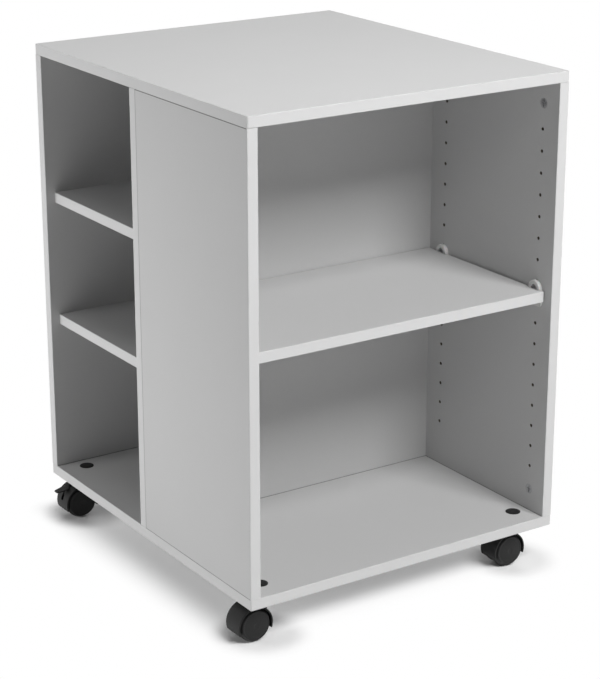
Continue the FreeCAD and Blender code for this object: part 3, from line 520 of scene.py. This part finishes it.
def hood_boss(stem, centre, radius, top):
    """The boss for a hood's stem, its rings running from just under the cover to the boss's top.

    A ring's radius shrinks from a flared foot to the boss's own, then rounds off to the axis.
    """
    boss_radius, flare, sink = 9 * MM, 1.1 * MM, 1 * MM
    part = np.array((0, 0.02, 0.1, 0.2, 0.35, 0.55, 0.8, 0.93, 0.965, 0.985, 1, 1, 1))
    girth = boss_radius + flare * (1 - smooth(part, 0, 0.35))
    girth[-5:-1] = boss_radius - np.array((0.1, 0.4, 0.8, 1.1)) * MM
    girth[-1] = PIN_POINT
    turn = np.linspace(0, 2 * np.pi, 48, endpoint=False)
    east = stem[0] + girth[:, None] * np.cos(turn)
    north = stem[1] + girth[:, None] * np.sin(turn)
    beside = np.minimum(np.abs(east - centre[0]), 0.94 * radius)
    cover_top = centre[2] + np.sqrt((radius - sink) ** 2 - beside ** 2)
    height = cover_top + (top - cover_top) * part[:, None]
    return loft(np.stack((east, north, height), -1))


def castor_wheel(node, sizes):
    """One wheel turned round its axle, and how much of each point is tread.

    The disc falls from its middle by the dome times the square of its share of the radius.
    """
    low, high = box_of(node)
    centre = (low + high) / 2
    radius = (high[0] - low[0]) / 2
    width = high[1] - low[1]
    outwards = -Y if "front_wheel" in node else Y
    origin = centre - outwards * width / 2
    bore, bore_depth, hub, rim = 3.05 * MM, 9 * MM, 7 * MM, radius - 4 * MM
    hollow, draft = width - 3 * MM, 0.1 * MM
    face, disc_share = width - sizes.wheel_dome, 0.8
    back = rounded(
        (
            (PIN_POINT, bore_depth), (bore, bore_depth), (bore, 0), (hub, 0), (hub, hollow),
            (rim, hollow), (rim, 0), (radius - draft, 0), (radius, width - sizes.shoulder_depth),
            (radius - sizes.shoulder, face), (disc_share * radius, face),
        ),
        np.array((0.2, 0.3, 0.5, 1, 1, 0.5, 0.9, 1.2, 0.9)) * MM, closed=False,
    )[:-1]
    # Each ring's share of the radius and its depth below the dome in mm: a groove, a dish
    spread, drop = np.transpose((
        (disc_share, 0), (0.79, 0.02), (0.78, 0.22), (0.77, 0.28), (0.75, 0.28), (0.65, 0.22),
        (0.45, 0.12), (0.25, 0.04), (0.17, 0.03), (0.155, 0.10), (0.14, 0.28), (0.12, 0.34),
        (0.06, 0.36), (PIN_POINT / radius, 0.36),
    ))
    crown = width - sizes.wheel_dome * (spread / disc_share) ** 2 - drop * MM
    profile = np.concatenate((back, np.stack((radius * spread, crown), -1)))
    tread = smooth(profile[:, 0], radius - 1.2 * MM, radius - 0.2 * MM)
    return lathe(profile, origin, outwards, WHEEL_STEPS), np.repeat(tread, WHEEL_STEPS)


def brake_lever(corner, sizes):
    """One lever: an arm that rises out of the hood's slot, and a tapered foot tab with grip ridges.

    Sections of half breadth b(u) and height from w0(u) to w1(u) follow the tab from its root to
    its tip. A section is a squared-off circle, and its top dips between the tab's sides. The arm
    is a flat outline with rounded corners, carried across the slot.
    """
    pivot = middle_of(f"{corner}_brake_pin")
    ahead = -np.cos(sizes.lever_angle) * X - np.sin(sizes.lever_angle) * Z
    lift = -np.sin(sizes.lever_angle) * X + np.cos(sizes.lever_angle) * Z
    # The tab's, the arm's and the ridges' measures in mm
    reach, rise = sizes.lever_reach / MM, sizes.lever_rise / MM
    root = (sizes.lever_reach - sizes.lever_tab) / MM
    root_half, taper, thickness, dip = 9, 3.5, 2.5, 0.4
    heel_length, nose_length, blunt = 1, 2.8, 0.03
    along = np.concatenate((
        root + heel_length - np.cos(np.linspace(0.25, np.pi / 2, 6)),
        np.linspace(root + 1.2, reach - 3, 28),
        reach - nose_length * (1 - np.sin(np.linspace(0.1, np.pi / 2, 10))),
    ))
    heel = np.clip((root + heel_length - along) / (heel_length + blunt), 0, 1)
    nose = np.clip((along - reach + nose_length) / (nose_length + blunt), 0, 1)
    heel_loss, nose_loss = 1 - np.sqrt(1 - heel ** 2), 1 - np.sqrt(1 - nose ** 2)
    breadth = root_half - taper * (along - root) / (reach - root) - 2.4 * nose_loss - 0.8 * heel_loss
    bottom = rise + 1.1 * nose_loss + 0.8 * heel_loss
    top = rise + thickness - 0.7 * nose_loss - 0.8 * heel_loss
    turn, squareness = np.linspace(0, 2 * np.pi, 48, endpoint=False), 0.4
    flat = np.sign(np.cos(turn)) * np.abs(np.cos(turn)) ** squareness
    tall = np.sign(np.sin(turn)) * np.abs(np.sin(turn)) ** squareness
    dish = dip * smooth(along, root + 4, root + 9) * (1 - smooth(along, reach - 4, reach - 1))
    height = (top + bottom)[:, None] / 2 + (top - bottom)[:, None] / 2 * tall
    height = height - dish[:, None] * (1 - flat ** 2) * (tall > 0.5)
    tab = loft(
        pivot + along[:, None, None] * MM * ahead + (breadth[:, None] * flat)[..., None] * MM * Y
        + height[..., None] * MM * lift
    )
    neck = rise + 0.8
    arm_corners = np.array(((-4, -3), (6, -3), (9, 3), (5, 8), (5, neck), (-3, neck), (-4, 3)))
    arm = rounded(arm_corners * MM, np.array((2.5, 1.5, 1.5, 1, 0.3, 0.8, 1.5)) * MM)
    arm_half = sizes.lever_arm / 2
    shells = [tab, extrude(arm, (-arm_half, arm_half), pivot, ahead, lift, Y)]
    ridge_corners = np.array(((-0.55, 0), (0.55, 0), (0.2, 0.75), (-0.2, 0.75)))
    ridge = rounded(ridge_corners, 0.12, steps=3, hold=0.01) * MM
    for spot, half in ((13.5, 5), (15.9, 4.6), (18.3, 4.1)):
        foot = pivot + spot * MM * ahead + (rise + 2) * MM * lift
        shells.append(extrude(ridge, np.array((-half, half)) * MM, foot, ahead, lift, Y))
    return shells


def castor_socket(node):
    """A flanged bush turned round the stem's axis."""
    low, high = box_of(node)
    middle = (low + high) / 2
    flange, bush, bore = (high[0] - low[0]) / 2, 8 * MM, 5.55 * MM
    rise, plate = high[2] - low[2], 2 * MM
    profile = rounded(
        ((bore, 0), (flange, 0), (flange, plate), (bush, plate), (bush, rise), (bore, rise)),
        np.array((0.3, 0.7, 0.1, 0.2, 0.3, 0.3)) * MM,
    )
    return lathe(profile, np.array((middle[0], middle[1], low[2])), Z, FITTING_STEPS, closed=True)


def castor_cap(corner, low, high):
    """A low domed cap with its plug, turned round the stem's axis.

    The dome rises from its brim by the root of 1 less the cube of its share of the radius.
    """
    stem = middle_of(f"{corner}_castor_stem")
    radius, plug, seat = 11 * MM, 5.4 * MM, 2 * MM
    brim = seat + 0.6 * MM
    rise = high[2] - low[2] - brim
    foot = rounded(
        ((PIN_POINT, 0), (plug, 0), (plug, seat), (radius, seat), (radius, brim)),
        np.array((0.4, 0.2, 0.2)) * MM, closed=False,
    )
    spread = np.linspace(1, 0, 18)[1:] ** 0.7
    height = brim + rise * np.sqrt(1 - spread ** 3)
    dome = np.stack((np.maximum(radius * spread, PIN_POINT), height), -1)
    origin = np.array((stem[0], stem[1], low[2]))
    return lathe(np.concatenate((foot, dome)), origin, Z, FITTING_STEPS)


# Finishes


class Wire:
    """A shader socket that adds a Math node for each operator it meets."""

    def __init__(self, paint, socket):
        self.paint = paint
        self.socket = socket

    def math(self, operation, first, second):
        return self.paint.node("Math", {"operation": operation}, {0: first, 1: second})

    def __add__(self, other):
        return self.math("ADD", self, other)

    def __radd__(self, other):
        return self.math("ADD", other, self)

    def __sub__(self, other):
        return self.math("SUBTRACT", self, other)

    def __rsub__(self, other):
        return self.math("SUBTRACT", other, self)

    def __mul__(self, other):
        return self.math("MULTIPLY", self, other)

    def __rmul__(self, other):
        return self.math("MULTIPLY", other, self)

    def __abs__(self):
        return self.math("ABSOLUTE", self, 0.0)


class Paint:
    """One material and the nodes that make its finish."""

    def __init__(self, name, **constants):
        self.material = bpy.data.materials.new(name)
        self.material.use_nodes = True
        self.tree = self.material.node_tree
        self.shader = self.tree.nodes["Principled BSDF"]
        for socket, number in constants.items():
            self.feed(socket.replace("_", " ").title().replace("Ior", "IOR"), number)

    def node(self, kind, settings=None, inputs=None, output=0):
        """Adds a node: its settings first, then the numbers or wires of its sockets."""
        made = self.tree.nodes.new(f"ShaderNode{kind}")
        for name, setting in (settings or {}).items():
            setattr(made, name, setting)
        for name, given in (inputs or {}).items():
            self.join(given, made.inputs[name])
        return Wire(self, made.outputs[output])

    def join(self, given, socket):
        if isinstance(given, Wire):
            self.tree.links.new(given.socket, socket)
        else:
            socket.default_value = given

    def feed(self, socket, given):
        """Sets or links one socket of the finish's shader."""
        self.join(given, self.shader.inputs[socket])

    def place(self, stretch=(1, 1, 1)):
        """The piece's own coordinates, stretched along each axis."""
        return self.vector("MULTIPLY", self.node("TexCoord", output="Object"), stretch)

    def vector(self, operation, first, second=(0, 0, 0), output=0):
        return self.node("VectorMath", {"operation": operation}, {0: first, 1: second}, output)

    def coordinate(self, axis):
        """One of the piece's own coordinates."""
        return self.node("SeparateXYZ", inputs={0: self.place()}, output=axis)

    def noise(self, scale, detail=2.0, roughness=0.5, stretch=(1, 1, 1)):
        """Cloudy noise from 0 to 1, so many waves to the metre."""
        inputs = {"Scale": scale, "Detail": detail, "Roughness": roughness}
        return self.node("TexNoise", inputs={"Vector": self.place(stretch), **inputs})

    def cells(self, scale):
        """Distance to the nearest of evenly scattered points."""
        return self.node("TexVoronoi", inputs={"Vector": self.place(), "Scale": scale})

    def ramp(self, given, low, high):
        """0 up to low, 1 from high, and an even S between them."""
        settings = {"interpolation_type": "SMOOTHSTEP"}
        return self.node("MapRange", settings, {"Value": given, "From Min": low, "From Max": high})

    def mix(self, factor, first, second):
        inputs = {0: factor, 6: colour4(first), 7: colour4(second)}
        return self.node("Mix", {"data_type": "RGBA"}, inputs, output=2)

    def value(self, name):
        """A number kept with the piece's points."""
        return self.node("Attribute", {"attribute_name": name}, output="Fac")

    def along(self, axis):
        """How squarely a face looks along an axis of the piece, from 0 to 1."""
        normal = self.node("TexCoord", output="Normal")
        return abs(self.node("SeparateXYZ", inputs={0: normal}, output=axis))

    def finish(self, tone, roughness, height, distance, strength=0.5):
        """Feeds the finish's colour, its roughness and the height of its grain."""
        self.feed("Base Color", tone)
        self.feed("Roughness", roughness)
        inputs = {"Height": height, "Distance": distance, "Strength": strength}
        self.feed("Normal", self.node("Bump", inputs=inputs))
        return self.material


def colour4(given):
    """A colour with its alpha for a socket, or a wire as it is."""
    return given if isinstance(given, Wire) else (*given, 1.0)


def tone_of(name):
    return tuple(getattr(bpy.context.scene.cart_colours, name))


def shade(tone, factor):
    return tuple(min(part * factor, 1.0) for part in tone)


@functools.cache
def melamine(axis, bored):
    """Printed paper under a hard pearl-grained resin film, with raw chipboard inside a board's bores.

    Upright boards get a thin line of painted shade where their ends meet the panels above and
    below, and the left side gets one where its rear end meets the divider.
    """
    tone = tone_of("board")
    dark_chip, pale_chip, joint_shade = (0.085, 0.070, 0.055), (0.21, 0.18, 0.145), shade(tone, 0.18)
    paint = Paint(f"melamine_{axis.lower()}_{'bored' if bored else 'banded'}", specular_ior_level=0.45)
    drift = paint.noise(2.6, 3.0)
    fleck = paint.noise(900, 2.0, 0.7)
    speck = paint.ramp(paint.cells(620), 0.10, 0.02)
    smear = paint.noise(14, 4.0, 0.6)
    pearl = paint.noise(1500, 1.0)
    face = paint.mix(drift, shade(tone, 0.985), shade(tone, 1.012))
    face = paint.mix(paint.ramp(fleck, 0.35, 0.75) * 0.5, face, shade(tone, 1.05))
    face = paint.mix(speck * 0.2, face, shade(tone, 0.86))
    roughness = 0.47 + 0.09 * smear + 0.05 * pearl
    height = pearl
    if bored:
        chip = paint.noise(420, 4.0, 0.75, (1, 1, 0.5))
        raw = paint.mix(paint.ramp(chip, 0.3, 0.7), dark_chip, pale_chip)
        inside = paint.ramp(paint.along(axis), 0.72, 0.68)
        face = paint.mix(inside, face, raw)
        roughness = roughness + 0.35 * inside
        height = height + chip * inside * 6.0
    # Painted shade: a dark line along the upright boards' ends, where they meet the panels above and
    # below
    if axis != "Z":
        low, high = box_of("left_side_panel")
        level = abs(paint.coordinate("Z") - (low[2] + high[2]) / 2)
        end = (high[2] - low[2]) / 2
        face = paint.mix(paint.ramp(level, end - 1.3 * MM, end - 0.4 * MM) * 0.85, face, joint_shade)
    # Painted shade: a dark line along the left side's rear end, where it meets the divider
    if axis == "X":
        on_left = paint.ramp(paint.coordinate("X"), 1 * MM, -1 * MM)
        seam_shade = paint.ramp(paint.coordinate("Y"), high[1] - 1.6 * MM, high[1] - 0.6 * MM) * on_left
        face = paint.mix(seam_shade * 0.6, face, joint_shade)
    return paint.finish(face, roughness, height, 0.03 * MM)


@functools.cache
def edge_band(upright):
    """Plastic banding with fine drawn lines along its length and a hairline of glue behind it."""
    tone = tone_of("band")
    paint = Paint("edge_band_upright" if upright else "edge_band_level", specular_ior_level=0.45)
    stretch = (1, 1, 0.02) if upright else (0.02, 0.02, 1)
    lines = paint.noise(2600, 3.0, 0.6, stretch)
    drift = paint.noise(3.5, 2.0)
    face = paint.mix(drift, shade(tone, 0.985), shade(tone, 1.012))
    face = paint.mix(paint.ramp(lines, 0.3, 0.7) * 0.3, face, shade(tone, 0.96))
    glue = paint.ramp(paint.value("out"), 0.50 * MM, 0.10 * MM)
    face = paint.mix(glue * 0.75, face, shade(tone, 0.42))
    return paint.finish(face, 0.36 + 0.10 * lines + 0.25 * glue, lines, 0.02 * MM, 0.4)


@functools.cache
def clip_plastic():
    """White moulded nylon, a little cloudy, with a fine matt skin."""
    tone = tone_of("clip")
    paint = Paint("clip_plastic", subsurface_weight=0.08, subsurface_scale=0.001)
    cloud = paint.noise(180, 3.0)
    grain = paint.noise(2400, 2.0)
    face = paint.mix(cloud, shade(tone, 0.97), shade(tone, 1.02))
    return paint.finish(face, 0.34 + 0.14 * grain, grain, 0.02 * MM)


@functools.cache
def castor_plastic():
    """Black nylon with a spark-eroded grain, a little dust and paler rubbed spots."""
    tone = tone_of("castor")
    dust_tone = (0.11, 0.11, 0.11)
    paint = Paint("castor_plastic", specular_ior_level=0.20)
    grain = paint.cells(1500)
    fine = paint.noise(3200, 2.0)
    dust = paint.ramp(paint.noise(90, 5.0, 0.65), 0.52, 0.78)
    face = paint.mix(fine, shade(tone, 0.85), shade(tone, 1.2))
    face = paint.mix(dust * 0.06, face, dust_tone)
    return paint.finish(face, 0.44 + 0.14 * grain + 0.12 * dust, grain + 0.5 * fine, 0.05 * MM, 0.6)


@functools.cache
def wheel_plastic():
    """Hard black nylon, satin on the disc, scuffed and dusty on the tread."""
    tone = tone_of("wheel")
    scuff_tone = (0.12, 0.12, 0.12)
    paint = Paint("wheel_plastic", specular_ior_level=0.20)
    tread = paint.value("tread")
    fine = paint.noise(2600, 2.0)
    scuff = paint.ramp(paint.noise(300, 4.0, 0.7), 0.45, 0.72)
    face = paint.mix(fine, shade(tone, 0.88), shade(tone, 1.15))
    face = paint.mix(tread * (0.06 + 0.25 * scuff), face, scuff_tone)
    swirl = paint.noise(60, 3.0)
    roughness = 0.38 + 0.08 * swirl + 0.06 * fine + tread * (0.10 + 0.15 * scuff)
    return paint.finish(face, roughness, fine + tread * scuff * 2.0, 0.03 * MM)


@functools.cache
def plated_steel():
    """Bright zinc-plated steel with fine turning marks."""
    tone = tone_of("steel")
    paint = Paint("plated_steel", metallic=1.0)
    marks = paint.noise(2200, 2.0, 0.5, (1, 1, 0.15))
    bloom = paint.noise(160, 3.0)
    face = paint.mix(bloom, shade(tone, 0.92), shade(tone, 1.05))
    return paint.finish(face, 0.26 + 0.12 * marks + 0.08 * bloom, marks, 0.01 * MM)


@functools.cache
def cast_zinc():
    """Die-cast zinc: dull, slightly mottled metal with a soft skin."""
    tone = tone_of("zinc")
    paint = Paint("cast_zinc", metallic=0.9)
    mottle = paint.noise(700, 4.0, 0.6)
    face = paint.mix(mottle, shade(tone, 0.82), shade(tone, 1.12))
    return paint.finish(face, 0.40 + 0.18 * mottle, mottle, 0.03 * MM)


@functools.cache
def beech_wood():
    """Pale beech with short dark rays along the grain."""
    tone = tone_of("beech")
    paint = Paint("beech_wood")
    grain = paint.noise(900, 4.0, 0.6, (1, 1, 0.08))
    ray = paint.ramp(paint.noise(1600, 2.0, 0.5, (1, 1, 0.15)), 0.6, 0.75)
    wood = paint.mix(grain, shade(tone, 0.85), shade(tone, 1.1))
    face = paint.mix(ray * 0.5, wood, shade(tone, 0.5))
    return paint.finish(face, 0.55 + 0.15 * grain, grain, 0.05 * MM)


# Operators


class CART_OT_boards(bpy.types.Operator):
    """Finish the boards"""

    bl_idname = "cart.boards"
    bl_label = "Boards"

    def execute(self, context):
        for board, axis in BOARDS.items():
            finish_nodes((board,), melamine(axis, board != "front_shelf"))
        return {"FINISHED"}


class CART_OT_edge_bands(bpy.types.Operator):
    """Build the edge bands of all boards"""

    bl_idname = "cart.edge_bands"
    bl_label = "Edge bands"

    def execute(self, context):
        sizes = context.scene.cart_sizes
        for node, (body, across, toward) in STRIPS.items():
            shell, out = strip(node, across, toward, sizes)
            make_piece(
                f"{node}_strip", [shell], edge_band("shelf" not in node), body, (node,),
                values={"out": out},
            )
        for node in ("top_panel_edging", "bottom_panel_edging"):
            shell, out = frame_band(node, sizes)
            make_piece(
                f"{node}_band", [shell], edge_band(False), "carcass", (node,),
                values={"out": out},
            )
        return {"FINISHED"}


class CART_OT_shelf_clips(bpy.types.Operator):
    """Build the four clips that hold the front shelf"""

    bl_idname = "cart.shelf_clips"
    bl_label = "Shelf clips"

    def execute(self, context):
        for corner in CORNERS:
            node = f"{corner}_shelf_clip"
            shells = shelf_clip(node, context.scene.cart_sizes)
            make_piece(f"{node}_moulding", shells, clip_plastic(), "carcass", (node,), SOFT_EDGE)
        return {"FINISHED"}


class CART_OT_fixings(bpy.types.Operator):
    """Finish the cam locks, cam bolts and dowels"""

    bl_idname = "cart.fixings"
    bl_label = "Fixings"

    def execute(self, context):
        finish_nodes(("cam_locks",), cast_zinc())
        finish_nodes(("cam_bolts",), plated_steel())
        finish_nodes(("dowels",), beech_wood())
        return {"FINISHED"}


class CART_OT_castor_hoods(bpy.types.Operator):
    """Build the castors' hoods"""

    bl_idname = "cart.castor_hoods"
    bl_label = "Castor hoods"

    def execute(self, context):
        for corner in CORNERS:
            node = f"{corner}_castor_hood"
            shells = castor_hood(corner, context.scene.cart_sizes)
            make_piece(
                f"{node}_moulding", shells, castor_plastic(), f"{corner}_castor",
                (node,), SOFT_EDGE,
            )
        return {"FINISHED"}


class CART_OT_castor_wheels(bpy.types.Operator):
    """Build the castors' wheels"""

    bl_idname = "cart.castor_wheels"
    bl_label = "Castor wheels"

    def execute(self, context):
        for corner in CORNERS:
            for side in ("front", "rear"):
                node = f"{corner}_castor_{side}_wheel"
                shell, tread = castor_wheel(node, context.scene.cart_sizes)
                make_piece(
                    f"{node}_moulding", [shell], wheel_plastic(), node, (node,),
                    values={"tread": tread},
                )
        return {"FINISHED"}


class CART_OT_brake_levers(bpy.types.Operator):
    """Build the rear castors' brake levers"""

    bl_idname = "cart.brake_levers"
    bl_label = "Brake levers"

    def execute(self, context):
        for corner in BRAKED:
            node = f"{corner}_brake_lever"
            shells = brake_lever(corner, context.scene.cart_sizes)
            make_piece(
                f"{node}_moulding", shells, castor_plastic(), node, (node,),
                LEVER_SOFT_EDGE,
            )
        return {"FINISHED"}


class CART_OT_castor_fittings(bpy.types.Operator):
    """Build the castors' sockets and caps, and finish their stems, axles and pins"""

    bl_idname = "cart.castor_fittings"
    bl_label = "Castor fittings"

    def execute(self, context):
        for corner in CORNERS:
            node = f"{corner}_castor_socket"
            bush = [castor_socket(node)]
            make_piece(f"{node}_bush", bush, castor_plastic(), "carcass", (node,))
            finish_nodes((f"{corner}_castor_stem", f"{corner}_castor_axle"), plated_steel())
        finish_nodes([f"{corner}_brake_pin" for corner in BRAKED], plated_steel())
        low, high = box_of("castor_caps")
        caps = [castor_cap(corner, low, high) for corner in CORNERS]
        make_piece(
            "castor_cap_covers", caps, castor_plastic(), "carcass", ("castor_caps",),
        )
        return {"FINISHED"}


class CART_OT_studio(bpy.types.Operator):
    """Build the floor, the light and the camera"""

    bl_idname = "cart.studio"
    bl_label = "Studio"

    def execute(self, context):
        studio = context.scene.cart_studio
        build_floor(studio)
        build_world(context.scene, studio)
        aim, front = np.array((0, 0, 0.4)), (0.42, -2.40, 2.65)
        softbox("key", studio.key, front, aim, 1.3, 1.1, glare=False)
        softbox("sheen", studio.sheen, front, aim, 1.3, 1.1)
        softbox("side", studio.side, (-1.45, 0.50, 0.42), aim, 0.7, 0.7, glare=False)
        softbox("back", studio.back, (1.7, 2.4, 0.9), aim, 1.3, 1.3, glare=False)
        softbox("top", studio.top, (-0.22, 0.12, 2.60), aim, 1.2, 1.2, glare=False)
        build_camera(context.scene, studio)
        context.scene.view_settings.view_transform = "Standard"
        return {"FINISHED"}


class CART_PT_sidebar(bpy.types.Panel):
    """Lists the cart's settings and the steps that build its looks"""

    bl_idname = "CART_PT_sidebar"
    bl_label = "Utility cart"
    bl_space_type = "VIEW_3D"
    bl_region_type = "UI"
    bl_category = "Cart"

    def draw(self, context):
        for settings_name, kind in SETTINGS.items():
            group = self.layout.box()
            for name in kind.__annotations__:
                group.prop(getattr(context.scene, settings_name), name)
        for operator in OPERATORS:
            self.layout.operator(operator.bl_idname)


# Studio


def build_floor(studio):
    """A pale floor that keeps the cart's shadow and runs out to plain white for the camera."""
    paint = Paint("studio_floor")
    tree = paint.tree
    tree.nodes.remove(paint.shader)
    # How far outside the cart's outline a point lies, or, below 0, how far inside
    low, high = box_of("bottom_panel_edging")
    low[1] += studio.front_shadow
    middle = (low + high) / 2 * (1, 1, 0)
    from_middle = paint.vector("SUBTRACT", paint.place(), middle)
    beyond = paint.vector("SUBTRACT", paint.vector("ABSOLUTE", from_middle), (high - low) / 2)
    beside = paint.vector("MAXIMUM", beyond, (0, 0, 0))
    outside = paint.vector("LENGTH", beside, output="Value")
    sides = [paint.node("SeparateXYZ", inputs={0: beyond}, output=axis) for axis in "XY"]
    nearest = paint.node("Math", {"operation": "MAXIMUM"}, {0: sides[0], 1: sides[1]})
    inside = paint.node("Math", {"operation": "MINIMUM"}, {0: nearest, 1: 0.0})
    # The floor keeps its own tone round the castors, and is mixed with white elsewhere
    swivel = np.abs(middle_of("front_left_castor_stem")) * (1, 1, 0)
    quarter = paint.vector("ABSOLUTE", paint.place())
    from_castor = paint.vector("DISTANCE", quarter, swivel, output="Value")
    open_floor = paint.ramp(from_castor, studio.castor_shadow, 2 * studio.castor_shadow)
    clear = paint.ramp(outside + inside, -studio.shadow_under, studio.shadow_out) * open_floor
    camera_ray = paint.node("LightPath", output="Is Camera Ray")
    lift = studio.shadow_lift * (1 - clear) * open_floor * camera_ray
    whiteness = clear * seen_directly(paint) + lift
    surface = paint.node("BsdfDiffuse", inputs={"Color": (*studio.floor, 1)})
    white = paint.node("Emission", inputs={"Color": (1, 1, 1, 1), "Strength": 1.0})
    mixed = paint.node("MixShader", inputs={0: whiteness, 1: surface, 2: white})
    tree.links.new(mixed.socket, tree.nodes["Material Output"].inputs["Surface"])
    mesh = bpy.data.meshes.new("studio_floor")
    reach = 30.0
    corners = [(*corner, 0) for corner in rectangle(-reach, reach, -reach, reach)]
    mesh.from_pydata(corners, [], [(0, 1, 2, 3)])
    mesh.materials.append(paint.material)
    floor = add_object("studio_floor", mesh)


def seen_directly(paint):
    """1 for what the camera sees, directly, in a reflection or through glass."""
    rays = ("Camera", "Glossy", "Transmission")
    camera, glossy, through = (paint.node("LightPath", output=f"Is {ray} Ray") for ray in rays)
    return paint.node("Clamp", inputs={0: camera + glossy + through})


class WorldPaint(Paint):
    """The nodes of the world's light."""

    def __init__(self, world):
        world.use_nodes = True
        self.tree = world.node_tree
        self.shader = self.tree.nodes["Background"]


def build_world(scene, studio):
    """White where it is seen, and a dim even light on the cart."""
    scene.world = bpy.data.worlds.new("studio")
    paint = WorldPaint(scene.world)
    paint.feed("Color", (1, 1, 1, 1))
    paint.feed("Strength", studio.ambient + (1 - studio.ambient) * seen_directly(paint))


def softbox(name, level, place, aim, width, height, glare=True):
    """An area light whose power gives a face at the aim, turned to it, the wanted level.

    One without glare is kept out of reflections, so that the top doesn't turn white at a low angle.
    """
    ray = aim - np.array(place)
    light = bpy.data.lights.new(name, "AREA")
    light.shape = "RECTANGLE"
    light.size = width
    light.size_y = height
    light.energy = level * np.pi ** 2 * (ray @ ray)
    lamp = add_object(name, light)
    lamp.location = place
    lamp.rotation_euler = Vector(ray).to_track_quat("-Z", "Y").to_euler()
    lamp.visible_camera = False
    lamp.visible_glossy = glare


def build_camera(scene, studio):
    """The camera at the photograph's angle."""
    lens = bpy.data.cameras.new("camera")
    lens.sensor_fit = "HORIZONTAL"
    lens.sensor_width = SENSOR_WIDTH
    lens.lens = SENSOR_WIDTH * studio.focal / IMAGE_WIDTH
    camera = add_object("camera", lens)
    camera.location = studio.camera
    camera.rotation_euler = (np.pi / 2 - studio.pitch, 0, -studio.yaw)
    scene.camera = camera


SETTINGS = {"cart_colours": CartColours, "cart_sizes": CartSizes, "cart_studio": StudioSettings}
OPERATORS = (
    CART_OT_boards, CART_OT_edge_bands, CART_OT_shelf_clips, CART_OT_fixings, CART_OT_castor_hoods,
    CART_OT_castor_wheels, CART_OT_brake_levers, CART_OT_castor_fittings, CART_OT_studio,
)


def register():
    for item in (*SETTINGS.values(), *OPERATORS, CART_PT_sidebar):
        bpy.utils.register_class(item)
    for name, group in SETTINGS.items():
        setattr(bpy.types.Scene, name, bpy.props.PointerProperty(type=group))


def unregister():
    for name in SETTINGS:
        delattr(bpy.types.Scene, name)
    for item in reversed((*SETTINGS.values(), *OPERATORS, CART_PT_sidebar)):
        bpy.utils.unregister_class(item)


def main():
    register()
    for operator in OPERATORS:
        group, name = operator.bl_idname.split(".")
        getattr(getattr(bpy.ops, group), name)()


if __name__ == "__main__":
    main()
